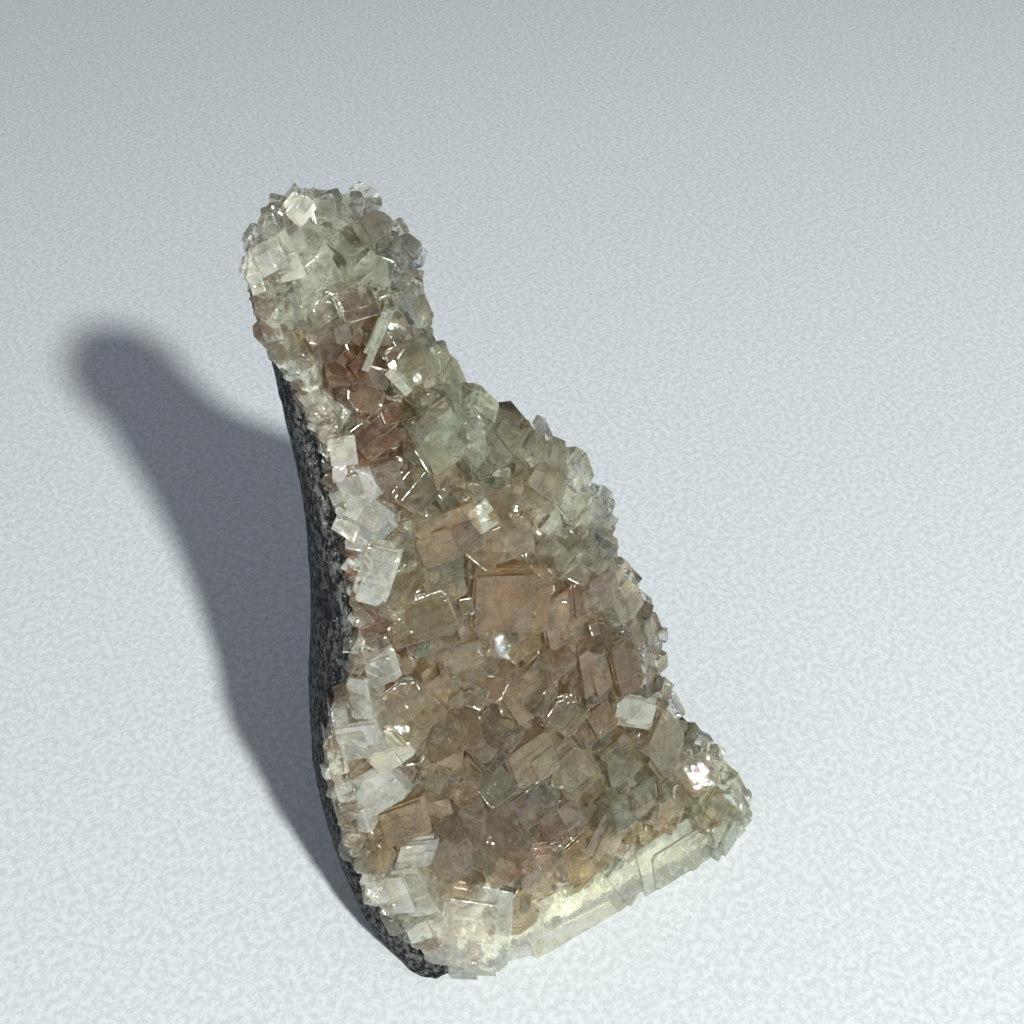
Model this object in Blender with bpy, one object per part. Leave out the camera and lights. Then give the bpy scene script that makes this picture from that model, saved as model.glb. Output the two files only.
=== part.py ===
"""Apophyllite freeform: a crust of blocky apophyllite crystals on a ground piece of dark basalt.

Lengths are in metres, +Z up. The piece stands on its flat cut base at Z = 0, with the origin in the
middle of the rock's base. The crystal face looks towards -Y and leans back, and +X is on its right.
The outlines below are in millimetres, as (height, value) points, from the base up.
"""

import math
import random

import bmesh
import bpy
import numpy as np
from mathutils import Matrix, Vector

MM = 0.001

# Driving outlines
# Where the tips of the crystals stand, front to back
FACE_DEPTH = [(0, -23.6), (15, -19.3), (40, -11.5), (80, 0), (119, 10.5)]
# The crystal crust's left and right edges, seen from the front
CRUST_LEFT = [
    (0, -19.5), (4, -22), (8, -25), (13, -28), (19, -30.8), (26, -32.4), (36, -33.2), (43, -33),
    (50, -31.5), (56, -29), (62, -26.2), (68, -24.2), (80, -23.6), (90, -23.8), (97, -25.3),
    (104, -27.5), (110, -27.8), (114, -26.7), (119, -22),
]
CRUST_RIGHT = [
    (0, 33.5), (6, 34), (12, 31.5), (21, 26.7), (30, 21), (40, 21), (46, 20), (52, 17.6),
    (58, 14.2), (68, 13.6), (72, 11.6), (78, 7.6), (86, 0.2), (91, -4), (97, -6.8),
    (104, -7.2), (110, -7.6), (115, -10.6), (119, -16),
]
# The rock's left, right and back surfaces
ROCK_LEFT = [(0, -28.5), (8, -31.5), (20, -33.2), (32, -33.2), (42, -31.8), (55, -29), (68, -27),
             (82, -26.2), (95, -26.4), (105, -26.4), (113, -25)]
ROCK_RIGHT = [(0, 30.5), (7, 31), (20, 25), (30, 19.4), (40, 18.6), (48, 17.6), (58, 13.8),
              (66, 12.8), (72, 9.6), (78, 3.8), (84, -1.6), (91, -5.2), (98, -7.4), (105, -8.8),
              (113, -11)]
ROCK_BACK = [(0, 15), (8, 17.5), (30, 20.5), (60, 22), (90, 22), (113, 20)]

CRUST_HEIGHT = 118.0
ROCK_HEIGHT = 112.0
ROCK_DOME = 12.0         # the height over which the rock's top rounds over
CRUST_THICKNESS = 6.5    # from the crystals' tips to the rock behind them
EDGE_THICKNESS = 2.2     # the same at the crust's left edge, where the rock comes forward
EDGE_WIDTH = 6.0         # how far in from the left edge the rock drops to its full recess
SKIN_THICKNESS = 3.0     # the grown-together foot of the crystals, in front of the rock
CRYSTAL_LENGTH = 7.5     # from a crystal's tip to its root
GAP = 0.3                # kept between the crust and the rock

# How finely the rock is faceted
RING_POINTS = 32
RING_COUNT = 24
WIDEST_AT = 0.22         # where the rock is widest, from its front to its back
FRONT_ROUNDNESS = 2.7    # exponents of the rock's rounded D section
BACK_ROUNDNESS = 2.0
LUMP_HEIGHT = 0.7        # of the low lumps on the rock

FACE_LEAN = math.radians(15)
SEED = 41

# Crystals that can be told apart on the real piece. Each has the place of its tip on the face as
# (x, height), its half widths, how far the tip stands out of the face, how far its axis leans right
# and up from the face's own normal in degrees, its turn about that axis in degrees, and how much of
# its corners the pyramid faces cut, from 0 for a plain block to 1 for a point.
LARGE_CRYSTALS = [
    # white and cream blocks along the foot
    (-19.5, 11.0, 6.2, 6.0, 1.4, -24, 26, -12, 0.22),
    (-3.0, 3.6, 7.6, 4.8, 0.8, -8, 14, 3, 0.10),
    (17.5, 4.2, 7.4, 5.0, 0.4, 0, 14, 5, 0.14),
    (-12.0, 8.0, 2.6, 3.2, 0.6, -20, 10, 30, 0.40),
    (-13.5, 2.4, 4.0, 4.0, 0.2, -14, 6, -8, 0.20),
    (-20.0, 2.4, 3.4, 4.0, -0.2, -30, 2, 10, 0.24),
    (8.0, 3.8, 4.2, 5.0, 0.0, 4, 6, 14, 0.24),
    (24.0, 10.5, 3.4, 3.0, 0.6, 14, 20, 18, 0.25),
    (27.6, 3.6, 4.0, 4.6, 0.0, 18, 8, 12, 0.22),
    (31.0, 9.0, 2.4, 3.6, 0.2, 34, 10, 10, 0.35),
    (-25.5, 12.5, 3.0, 3.4, 0.2, -34, 0, 20, 0.30),
    # the low left shoulder
    (-27.5, 21.5, 3.4, 4.6, 0.6, -30, 4, 12, 0.30),
    (-24.5, 27.5, 3.4, 2.8, 1.2, -18, 22, -10, 0.12),
    (-25.0, 33.5, 3.4, 3.0, 1.0, -20, 10, 16, 0.20),
    (-31.0, 29.5, 1.8, 2.6, 0.2, -42, 6, 8, 0.35),
    (-28.5, 40.0, 3.6, 3.2, 0.6, -36, 10, 34, 0.30),
    (-27.0, 47.5, 4.4, 3.8, 1.0, -28, 22, 10, 0.14),
    (-29.2, 54.5, 1.5, 3.4, 0.4, -44, 4, 6, 0.30),
    (-23.0, 38.0, 2.2, 2.4, -0.4, -10, 16, 38, 0.30),
    (-23.2, 58.0, 2.2, 2.3, 0.4, -22, 14, 12, 0.30),
    # tall blocks above the foot
    (-12.6, 24.5, 3.7, 6.6, 2.0, -20, 24, 14, 0.24),
    (-19.3, 24.0, 3.2, 4.2, 0.8, -14, 8, 32, 0.30),
    (-6.2, 15.0, 3.6, 3.4, 1.4, -12, 30, -8, 0.10),
    (0.8, 13.0, 3.5, 3.7, 1.0, -4, 16, 24, 0.20),
    (6.2, 14.5, 3.8, 4.0, 0.6, 6, 10, 44, 0.28),
    (-6.0, 26.5, 3.5, 3.0, 0.8, -10, 26, 20, 0.30),
    (-1.4, 20.8, 3.2, 3.1, 0.4, -4, 20, 8, 0.22),
    (11.0, 18.0, 4.4, 2.9, 0.4, 8, 26, 4, 0.18),
    (16.8, 13.0, 3.2, 3.0, 0.2, 10, 14, 30, 0.30),
    (22.0, 18.5, 2.9, 3.3, 1.6, 6, 30, 18, 0.42),
    (17.2, 26.5, 3.9, 4.0, 1.2, 12, 20, 30, 0.36),
    (10.0, 26.5, 3.0, 3.3, 0.4, -8, 24, 12, 0.20),
    (1.8, 28.5, 3.2, 3.4, 0.6, -14, 18, 36, 0.24),
    # the broad blocks of the middle
    (-4.0, 60.5, 5.4, 5.0, 1.2, -18, 22, -10, 0.14),
    (-17.0, 63.0, 4.4, 3.0, 0.8, -20, 26, 10, 0.12),
    (-18.4, 68.5, 2.8, 2.5, 0.2, -12, 16, 30, 0.26),
    (-12.6, 66.5, 2.7, 3.3, 0.4, -16, 10, 14, 0.20),
    (-11.0, 73.0, 4.4, 3.4, 1.0, -12, 22, 4, 0.14),
    (-18.2, 73.5, 2.6, 3.6, 0.4, -14, 6, 8, 0.24),
    (-21.5, 50.0, 4.0, 3.9, 0.6, -18, 18, 28, 0.22),
    (-15.4, 45.0, 3.8, 3.8, 0.9, -14, 24, 12, 0.18),
    (-19.0, 42.0, 2.6, 2.6, -0.2, -10, 10, 40, 0.30),
    (-10.0, 40.5, 3.9, 3.8, 0.9, -14, 22, 38, 0.16),
    (-3.3, 45.0, 3.7, 3.6, 0.5, -8, 20, 22, 0.22),
    (-11.2, 53.5, 3.7, 3.2, 0.4, -16, 18, 8, 0.20),
    (-4.4, 33.5, 3.5, 3.3, 0.6, -10, 14, 16, 0.24),
    (1.8, 38.0, 2.6, 2.8, 0.2, -4, 22, 34, 0.26),
    (6.2, 35.0, 3.5, 2.6, 0.5, 4, 24, 4, 0.18),
    (3.6, 54.0, 3.1, 3.8, 0.6, -2, 8, 12, 0.30),
    (3.6, 64.5, 3.4, 3.1, 0.6, -6, 22, 24, 0.20),
    (-2.2, 68.5, 2.8, 2.5, 0.5, -10, 20, 8, 0.18),
    (-5.8, 73.6, 1.6, 1.9, 0.8, -12, 24, 14, 0.20),
    # the clear blocks of the right rim
    (7.0, 43.5, 2.4, 4.6, 1.0, 2, 6, 8, 0.44),
    (12.4, 43.0, 2.6, 4.4, 1.3, 4, 8, -4, 0.50),
    (16.8, 40.5, 2.8, 5.2, 0.4, 28, 4, 4, 0.22),
    (12.8, 34.0, 3.0, 2.4, 0.6, -10, 30, -24, 0.10),
    (15.8, 47.5, 3.0, 2.8, 0.4, 22, 18, 22, 0.24),
    (13.6, 53.8, 2.8, 3.6, 0.4, 24, 10, 8, 0.30),
    (8.4, 56.5, 3.1, 2.8, 0.9, -2, 20, 4, 0.28),
    (10.0, 62.5, 2.8, 3.2, 0.5, 16, 14, 26, 0.36),
    (8.2, 70.6, 3.0, 2.4, 0.6, 10, 26, 12, 0.26),
    (4.6, 75.6, 3.0, 2.2, 0.0, 10, 18, 36, 0.30),
    # the neck, with its pale blades and the sharp point on the right
    (-8.9, 86.5, 3.6, 4.6, 1.0, -10, 20, 14, 0.20),
    (-4.2, 82.4, 2.8, 3.0, 0.4, 2, 16, 30, 0.26),
    (-1.2, 83.2, 1.9, 2.2, 1.0, 14, 34, 20, 0.55),
    (-13.6, 80.6, 2.8, 2.4, 0.6, -14, 20, 40, 0.20),
    (-18.0, 82.6, 3.2, 3.2, 0.0, -16, 12, 10, 0.22),
    (-17.6, 88.8, 3.6, 3.2, 0.0, -14, 18, 24, 0.22),
    (-22.0, 88.4, 1.6, 1.9, 0.2, -24, 14, 0, 0.16),
    (-21.4, 83.6, 2.3, 2.3, 0.8, -26, 18, 22, 0.70),
    (-20.6, 78.6, 2.2, 2.8, 0.5, -24, 6, 40, 0.50),
    (-21.4, 71.6, 2.3, 3.8, 1.0, -28, 14, -16, 0.55),
    (-22.6, 65.0, 2.0, 2.6, -0.4, -20, 10, 16, 0.30),
    (-6.4, 92.0, 1.9, 2.4, 0.4, 24, 16, 10, 0.30),
    (-3.2, 88.0, 1.9, 2.2, 0.4, 26, 18, 20, 0.30),
    (2.4, 80.4, 2.2, 2.0, 0.6, 18, 26, 12, 0.30),
    (5.8, 78.2, 1.8, 1.8, 0.4, 24, 24, 30, 0.40),
    (9.0, 74.6, 1.9, 2.0, 0.4, 24, 20, 8, 0.30),
    (11.8, 68.4, 1.8, 2.4, 0.3, 30, 12, 16, 0.30),
    (-11.4, 96.5, 3.2, 2.6, 0.4, -6, 24, 12, 0.16),
    (-16.0, 101.2, 0.6, 4.0, 1.6, -18, 24, -10, 0.20),
    (-14.2, 95.4, 0.7, 2.0, 1.4, -16, 26, 36, 0.20),
    # the head
    (-23.0, 115.8, 2.5, 2.7, 0.8, -20, 28, 24, 0.20),
    (-18.4, 117.0, 2.6, 1.9, 0.2, -8, 36, 8, 0.24),
    (-26.4, 111.2, 1.5, 2.0, 0.2, -38, 10, 12, 0.30),
    (-23.8, 112.2, 2.0, 1.8, 0.4, -26, 16, 10, 0.26),
    (-13.4, 113.0, 3.0, 2.4, 0.2, 6, 34, 12, 0.30),
    (-10.2, 109.2, 1.7, 2.0, 0.2, 26, 20, 20, 0.50),
    (-16.4, 109.8, 2.6, 2.6, 0.4, -10, 26, 36, 0.24),
    (-20.6, 110.0, 2.6, 2.0, 0.2, -16, 18, 14, 0.22),
    (-25.4, 106.5, 2.0, 2.2, 0.2, -34, 8, 10, 0.28),
    (-21.0, 105.4, 2.9, 2.2, 0.2, -16, 22, 30, 0.20),
    (-9.6, 102.8, 2.0, 3.2, 0.4, 18, 12, 8, 0.28),
    (-16.6, 105.0, 2.2, 1.6, 0.3, -12, 24, 6, 0.18),
]

# The crystals between them: the smallest and largest half width, and how many places are tried
FILL_SIZES = [(2.1, 3.0, 1500), (1.5, 1.9, 700)]
CLOSENESS = 0.78         # the least distance between two crystals, as a share of their widths

MATERIALS = {
    "basalt": ((0.030, 0.031, 0.034, 1.0), 0.85, 0.0),
    "apophyllite": ((0.55, 0.53, 0.46, 1.0), 0.12, 0.85),
}


def clear_scene():
    for obj in list(bpy.data.objects):
        bpy.data.objects.remove(obj)


def value_at(points, height):
    """The value of an outline at a height: a smooth cubic curve through its points."""
    heights, values = np.array(points, float).T
    slopes = np.gradient(values, heights)
    height = np.clip(height, heights[0], heights[-1])
    low = int(np.clip(np.searchsorted(heights, height) - 1, 0, len(heights) - 2))
    span = heights[low + 1] - heights[low]
    t = (height - heights[low]) / span
    start = (2 * t**3 - 3 * t**2 + 1) * values[low] + (t**3 - 2 * t**2 + t) * span * slopes[low]
    end = (3 * t**2 - 2 * t**3) * values[low + 1] + (t**3 - t**2) * span * slopes[low + 1]
    return start + end


def material(name):
    colour, roughness, transmission = MATERIALS[name]
    made = bpy.data.materials.new(name)
    made.use_nodes = True
    shader = made.node_tree.nodes["Principled BSDF"]
    shader.inputs["Base Color"].default_value = colour
    shader.inputs["Roughness"].default_value = roughness
    shader.inputs["Metallic"].default_value = 0.0
    shader.inputs["Transmission Weight"].default_value = transmission
    return made


def mesh_object(name, vertices, faces):
    """A linked mesh object from points in millimetres."""
    mesh = bpy.data.meshes.new(name)
    mesh.from_pydata([[MM * c for c in v] for v in vertices], [], faces)
    mesh.validate()
    obj = bpy.data.objects.new(name, mesh)
    bpy.context.scene.collection.objects.link(obj)
    return obj


def applied(obj):
    """Gives the object its evaluated mesh, with no modifiers left."""
    graph = bpy.context.evaluated_depsgraph_get()
    mesh = bpy.data.meshes.new_from_object(obj.evaluated_get(graph))
    obj.modifiers.clear()
    obj.data = mesh


def boolean(obj, operation, other, self_overlaps=False):
    cut = obj.modifiers.new(operation.lower(), "BOOLEAN")
    cut.operation = operation
    cut.object = other
    cut.use_self = self_overlaps
    applied(obj)
    bpy.data.objects.remove(other)


def recess(x, height):
    """How far the rock lies behind the crystals' tips: little at the left edge, more inside."""
    inside = (x - value_at(CRUST_LEFT, height)) / EDGE_WIDTH
    share = min(1.0, max(0.0, inside))
    return EDGE_THICKNESS + (CRUST_THICKNESS - EDGE_THICKNESS) * share * share * (3 - 2 * share)


def lump(x, y, z):
    """Low rounded swellings of a ground stone, from a few crossed waves."""
    return LUMP_HEIGHT * (
        0.5 * math.sin(0.21 * x + 0.13 * z) * math.cos(0.17 * y - 0.11 * z)
        + 0.3 * math.sin(0.37 * z - 0.29 * x + 1.3)
        + 0.2 * math.sin(0.47 * y + 0.41 * z + 0.6)
    )


def rock_ring(height, dome):
    """One level section of the rock: a rounded D, hollowed at the front where the crust sits."""
    face = value_at(FACE_DEPTH, height)
    back = value_at(ROCK_BACK, height)
    left, right = value_at(ROCK_LEFT, height), value_at(ROCK_RIGHT, height)
    middle, half = (left + right) / 2, (right - left) / 2 * dome
    centre = face + (WIDEST_AT + 0.2 * (1 - dome)) * (back - face)
    front_reach = (centre - face + 1.5) * dome
    back_reach = (back - centre) * dome
    ring = []
    for i in range(RING_POINTS):
        angle = 2 * math.pi * i / RING_POINTS
        power = 2 / (FRONT_ROUNDNESS if math.sin(angle) < 0 else BACK_ROUNDNESS)
        across = math.copysign(abs(math.cos(angle)) ** power, math.cos(angle))
        along = math.copysign(abs(math.sin(angle)) ** power, math.sin(angle))
        x = middle + half * across
        if along < 0:
            y = max(centre + front_reach * along, face + recess(x, height))
        else:
            y = centre + back_reach * along
            y += lump(x, y, height) * along
        ring.append((x, y, height))
    return ring


def rock_mesh(name, below=0.0):
    """The rock as stacked rings, closed flat at the base and over the top."""
    shoulder = ROCK_HEIGHT - ROCK_DOME
    rings = [rock_ring(height, 1.0) for height in np.linspace(0, shoulder, RING_COUNT - 5)]
    for turn in np.radians([24, 44, 60, 73, 82]):
        rings.append(rock_ring(shoulder + ROCK_DOME * math.sin(turn), math.cos(turn)))
    if below:
        rings.insert(0, [(x, y, -below) for x, y, _ in rings[0]])
    vertices = [point for ring in rings for point in ring]
    faces = [list(range(RING_POINTS))[::-1]]
    for level in range(len(rings) - 1):
        for i in range(RING_POINTS):
            a, b = level * RING_POINTS + i, level * RING_POINTS + (i + 1) % RING_POINTS
            faces.append([a, b, b + RING_POINTS])
            faces.append([a, b + RING_POINTS, a + RING_POINTS])
    top = (len(rings) - 1) * RING_POINTS
    faces.append([top + i for i in range(RING_POINTS)])
    return mesh_object(name, vertices, faces)


def rock_cutter():
    """The rock grown by the gap and continued below the base."""
    cutter = rock_mesh("rock_cutter", below=20)
    pushed = [v.co + v.normal * GAP * MM * 1.15 for v in cutter.data.vertices]
    for vertex, place in zip(cutter.data.vertices, pushed):
        vertex.co = place
    return cutter


def crystal_shape(half_x, half_y, cut):
    """Corners of a square prism with its flat end at 0, whose top corners four pyramid faces cut.

    A pyramid face drops by slope * (|x| + |y|). The cut is the share of the shorter end edge's half
    that it takes, so 0 leaves a plain block.
    """
    slope = 1.15
    taken = cut * min(half_x, half_y)
    level = half_x + half_y - taken     # |x| + |y| where the flat end meets a pyramid face
    points = []
    for sx in (-1, 1):
        for sy in (-1, 1):
            points.append((sx * half_x, sy * half_y, -CRYSTAL_LENGTH))
            points.append((sx * half_x, sy * half_y, -slope * taken))
            points.append((sx * half_x, sy * (level - half_x), 0))
            points.append((sx * (level - half_y), sy * half_y, 0))
    return points


def face_normal(lean_right, lean_up):
    """The crystal axis: the face's outward normal, leaned right and up by angles in degrees."""
    right, up = math.radians(lean_right), math.radians(lean_up) + FACE_LEAN
    return Vector((math.sin(right) * math.cos(up), -math.cos(right) * math.cos(up), math.sin(up)))


def placed_crystal(bm, place, widths, proud, leans, spin, cut):
    """Adds one convex crystal to the mesh, from its tip on the face back to its root in the crust."""
    x, height = place
    axis = face_normal(*leans)
    tip = Vector((x, value_at(FACE_DEPTH, height) - proud, height))
    turn = Matrix.Rotation(math.radians(spin), 4, "Z")
    pose = Matrix.Translation(tip) @ axis.to_track_quat("Z", "Y").to_matrix().to_4x4() @ turn
    corners = crystal_shape(*widths, cut)
    made = [bm.verts.new(MM * (pose @ Vector(corner))) for corner in corners]
    bmesh.ops.convex_hull(bm, input=made)


def edge_distance(x, height):
    """How far a place on the face is inside the crust's outline."""
    left, right = value_at(CRUST_LEFT, height), value_at(CRUST_RIGHT, height)
    return min(x - left, right - x, CRUST_HEIGHT - height)


def outward_leans(x, height, rng):
    """Crystals fan out towards the crust's rim and lean at random elsewhere."""
    left, right = value_at(CRUST_LEFT, height), value_at(CRUST_RIGHT, height)
    side = (2 * x - left - right) / (right - left)
    top = max(0.0, (height - 98) / 20)
    lean_right = 30 * side * abs(side) + rng.uniform(-22, 22)
    lean_up = 24 * top + rng.uniform(-16, 30)
    return lean_right, lean_up


def size_share(x, height):
    """Crystals are largest low and in the middle, and small on the head and the upper right rim."""
    low = 1.0 - 0.3 * min(1.0, max(0.0, (height - 70) / 25))
    rim = 0.8 if x > 2 and height > 60 else 1.0
    return low * rim


def fill_crystals(rng):
    """Places for the crystals between the large ones, none too near to another."""
    taken = [(c[0], c[1], c[2], c[3]) for c in LARGE_CRYSTALS]
    found = []
    for smallest, largest, tries in FILL_SIZES:
        for _ in range(tries):
            height = rng.uniform(1.0, CRUST_HEIGHT)
            x = rng.uniform(-34, 35)
            half = rng.uniform(smallest, largest) * size_share(x, height)
            if edge_distance(x, height) < 0.8 * half:
                continue
            if any(math.hypot((x - a) / (half + w), (height - b) / (half + h)) < CLOSENESS
                   for a, b, w, h in taken):
                continue
            taken.append((x, height, half, half))
            found.append((x, height, half))
    return found


def crystal_groups():
    """Two meshes of overlapping crystals, which a union then joins."""
    rng = random.Random(SEED)
    groups = [bmesh.new(), bmesh.new()]
    for i, (x, height, wide, tall, proud, right, up, spin, cut) in enumerate(LARGE_CRYSTALS):
        placed_crystal(groups[i % 2], (x, height), (wide, tall), proud, (right, up), spin, cut)
    for i, (x, height, half) in enumerate(fill_crystals(rng)):
        widths = (half, half * rng.uniform(0.85, 1.3))
        leans = outward_leans(x, height, rng)
        placed_crystal(groups[i % 2], (x, height), widths, rng.uniform(-1.6, 0.2), leans,
                       rng.uniform(0, 90), rng.choice((0.1, 0.25, 0.4, 0.7)))
    objects = []
    for name, bm in zip(("crystals_a", "crystals_b"), groups):
        mesh = bpy.data.meshes.new(name)
        bm.to_mesh(mesh)
        bm.free()
        obj = bpy.data.objects.new(name, mesh)
        bpy.context.scene.collection.objects.link(obj)
        objects.append(obj)
    return objects


def skin_mesh():
    """The grown-together foot of the crystals: a sheet that follows the rock's hollowed front."""
    heights = np.append(np.arange(-2.0, CRUST_HEIGHT - 8, 7.0), CRUST_HEIGHT - 6)
    shares = np.linspace(0, 1, 8)
    front, back = [], []
    for height in heights:
        left = value_at(CRUST_LEFT, height) + 2.0
        right = value_at(CRUST_RIGHT, height) - 3.0
        for share in shares:
            x = left + (right - left) * share
            y = value_at(FACE_DEPTH, height) + recess(x, height)
            front.append((x, y - SKIN_THICKNESS, height))
            back.append((x, y + 1.5, height))
    across, count = len(shares), len(front)
    faces = []
    for row in range(len(heights) - 1):
        for i in range(across - 1):
            a = row * across + i
            faces.append([a, a + 1, a + 1 + across, a + across])
            faces.append([count + a, count + a + across, count + a + 1 + across, count + a + 1])
    rim = [*range(across), *range(2 * across - 1, count, across),
           *range(count - 2, count - across - 1, -1),
           *range(count - 2 * across, 0, -across)]
    for i, a in enumerate(rim):
        b = rim[(i + 1) % len(rim)]
        faces.append([b, a, count + a, count + b])
    return mesh_object("apophyllite_crust", front + back, faces)


def keep_largest_body(obj):
    """Drops the crumbs that a cut leaves beside the main body."""
    bm = bmesh.new()
    bm.from_mesh(obj.data)
    left, bodies = set(bm.verts), []
    while left:
        body, edge = set(), [left.pop()]
        while edge:
            vertex = edge.pop()
            body.add(vertex)
            for other in (e.other_vert(vertex) for e in vertex.link_edges):
                if other in left:
                    left.discard(other)
                    edge.append(other)
        bodies.append(body)
    bodies.sort(key=len)
    for body in bodies[:-1]:
        bmesh.ops.delete(bm, geom=list(body), context="VERTS")
    bm.to_mesh(obj.data)
    bm.free()


def floor_cutter():
    """A block below the base, which cuts the crystals' foot flat."""
    low, high = (-60, -60, -40), (60, 60, 0)
    corners = [(x, y, z) for x in (low[0], high[0]) for y in (low[1], high[1])
               for z in (low[2], high[2])]
    faces = [(0, 1, 3, 2), (4, 6, 7, 5), (0, 4, 5, 1), (2, 3, 7, 6), (0, 2, 6, 4), (1, 5, 7, 3)]
    return mesh_object("floor_cutter", corners, faces)


def make_rock():
    rock = rock_mesh("basalt_matrix")
    rock.data.materials.append(material("basalt"))
    rock.data.shade_smooth()
    rock.data.set_sharp_from_angle(angle=math.radians(40))


def make_crust():
    first, second = crystal_groups()
    crust = skin_mesh()
    boolean(crust, "UNION", first, self_overlaps=True)
    boolean(crust, "UNION", second, self_overlaps=True)
    boolean(crust, "DIFFERENCE", rock_cutter())
    boolean(crust, "DIFFERENCE", floor_cutter())
    keep_largest_body(crust)
    crust.data.materials.clear()
    crust.data.materials.append(material("apophyllite"))


clear_scene()
make_rock()
make_crust()
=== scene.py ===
"""An apophyllite freeform: a crust of blocky, glassy crystals on a ground piece of dark basalt.

Outlines and crystal sizes are in millimetres, as in the part itself, and MM takes them to metres.
The piece stands on its cut base at Z = 0. Its crystal face looks towards -Y and leans back.
"""

import math

import bpy
import numpy as np
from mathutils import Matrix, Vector


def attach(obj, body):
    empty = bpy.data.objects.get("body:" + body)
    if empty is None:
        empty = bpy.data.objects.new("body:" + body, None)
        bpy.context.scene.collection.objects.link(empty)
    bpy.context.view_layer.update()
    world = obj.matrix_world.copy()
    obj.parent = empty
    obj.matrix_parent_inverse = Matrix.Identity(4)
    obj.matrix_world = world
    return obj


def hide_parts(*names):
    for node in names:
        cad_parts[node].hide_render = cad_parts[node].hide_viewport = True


MM = 0.001

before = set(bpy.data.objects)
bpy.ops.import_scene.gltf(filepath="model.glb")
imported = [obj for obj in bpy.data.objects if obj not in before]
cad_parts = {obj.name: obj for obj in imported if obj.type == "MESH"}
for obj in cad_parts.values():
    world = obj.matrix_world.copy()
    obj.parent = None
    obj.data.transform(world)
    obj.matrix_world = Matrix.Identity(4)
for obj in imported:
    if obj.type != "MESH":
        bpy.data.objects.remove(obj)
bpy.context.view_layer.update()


# The camera
# A lens about a quarter of a metre away, looking down on the standing piece from its left.
CAMERA_PLACE = (-0.0636, -0.1157, 0.2015)
CAMERA_AIM = (0.3396, 0.6202, -0.7071)
CAMERA_LENS = 49.46

camera_data = bpy.data.cameras.new("camera")
camera_data.lens = CAMERA_LENS
camera_data.sensor_width = 36
camera_data.clip_start = 0.001
camera = bpy.data.objects.new("camera", camera_data)
camera.location = CAMERA_PLACE
camera.rotation_euler = Vector(CAMERA_AIM).to_track_quat("-Z", "Y").to_euler()
bpy.context.scene.collection.objects.link(camera)
bpy.context.scene.camera = camera


# The basalt
# A wedge of fine-grained dark lava rock, sawn flat underneath and ground round behind, with its
# grain drawn out along its height. The crystals grew in a hollow of its front.
FACE_DEPTH = [(0, -23.6), (15, -19.3), (40, -11.5), (80, 0), (119, 10.5)]
CRUST_LEFT = [
    (0, -19.5), (4, -22), (8, -25), (13, -28), (19, -30.8), (26, -32.4), (36, -33.2), (43, -33),
    (50, -30.9), (56, -27.4), (62, -25.2), (68, -24.0), (80, -23.6), (90, -23.8), (97, -25.3),
    (104, -27.5), (110, -27.8), (114, -26.7), (119, -22),
]
ROCK_LEFT = [(0, -28.5), (8, -31.5), (20, -33.2), (32, -33.2), (42, -31.8), (55, -29), (68, -27),
             (82, -26.2), (95, -26.4), (105, -26.4), (113, -25)]
ROCK_RIGHT = [(0, 30.5), (7, 31), (20, 25), (30, 19.4), (40, 18.6), (48, 17.6), (58, 13.8),
              (66, 12.8), (72, 9.6), (78, 3.8), (84, -1.6), (91, -5.2), (98, -7.4), (105, -8.8),
              (113, -11)]
ROCK_BACK = [(0, 15), (8, 17.5), (30, 20.5), (60, 22), (90, 22), (113, 20)]
ROCK_HEIGHT = 112.0
ROCK_DOME = 12.0         # the height over which its top closes
DOME_BACK = 0.2          # and how far back it draws, as a share of the rock's depth
WIDEST_AT = 0.22         # of the depth, from the front
FRONT_REACH = 1.5        # how far its front would stand out, if the hollow didn't hold it back
FRONT_ROUNDNESS = 2.7
BACK_ROUNDNESS = 2.0
LUMP_HEIGHT = 0.7        # of the low lumps behind
CRUST_THICKNESS = 6.5
EDGE_THICKNESS = 2.2     # of the crust at its left edge
EDGE_WIDTH = 6.0         # of the strip where it thickens
ROCK_LEVELS = 230
DOME_LEVELS = 30
ROCK_AROUND = 230
GRAIN_HEIGHT = 0.16      # of the rock's grains
GRAIN_SIZE = 0.8
GRAIN_STRETCH = 2.6      # how far the grain is drawn out along the height
SWELL_SIZE = 6.0         # of the broad swells below the grain
SWELL = 1.2              # their height, in grain heights


def outline_at(points, height):
    """The value of an outline at each height: a smooth cubic curve through its points."""
    heights, values = np.array(points, float).T
    slopes = np.gradient(values, heights)
    height = np.clip(height, heights[0], heights[-1])
    low = np.clip(np.searchsorted(heights, height) - 1, 0, len(heights) - 2)
    span = heights[low + 1] - heights[low]
    t = (height - heights[low]) / span
    start = (2 * t**3 - 3 * t**2 + 1) * values[low] + (t**3 - 2 * t**2 + t) * span * slopes[low]
    end = (3 * t**2 - 2 * t**3) * values[low + 1] + (t**3 - t**2) * span * slopes[low + 1]
    return start + end


def mottle(points, size, seed):
    """Smooth noise from -1 to 1: random values on a cubic lattice with this spacing, blended between
    the corners of each cell by smooth steps."""
    cell = points / size
    base = np.floor(cell).astype(np.int64)
    t = cell - base
    t = t * t * (3 - 2 * t)
    total = np.zeros(points.shape[:-1])
    for corner in np.ndindex(2, 2, 2):
        code = ((base + corner) * (73856093, 19349663, 83492791)).sum(-1) + seed * 19260817
        code = (code ^ (code >> 13)) * 1274126177
        value = ((code ^ (code >> 16)) & 0xFFFF) / 32767.5 - 1
        total += value * np.where(np.array(corner) == 1, t, 1 - t).prod(-1)
    return total


def recess(x, height):
    """How far the rock lies behind the crystals' tips: little at the left edge, and a smooth step
    to more inside."""
    share = np.clip((x - outline_at(CRUST_LEFT, height)) / EDGE_WIDTH, 0, 1)
    return EDGE_THICKNESS + (CRUST_THICKNESS - EDGE_THICKNESS) * share * share * (3 - 2 * share)


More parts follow.
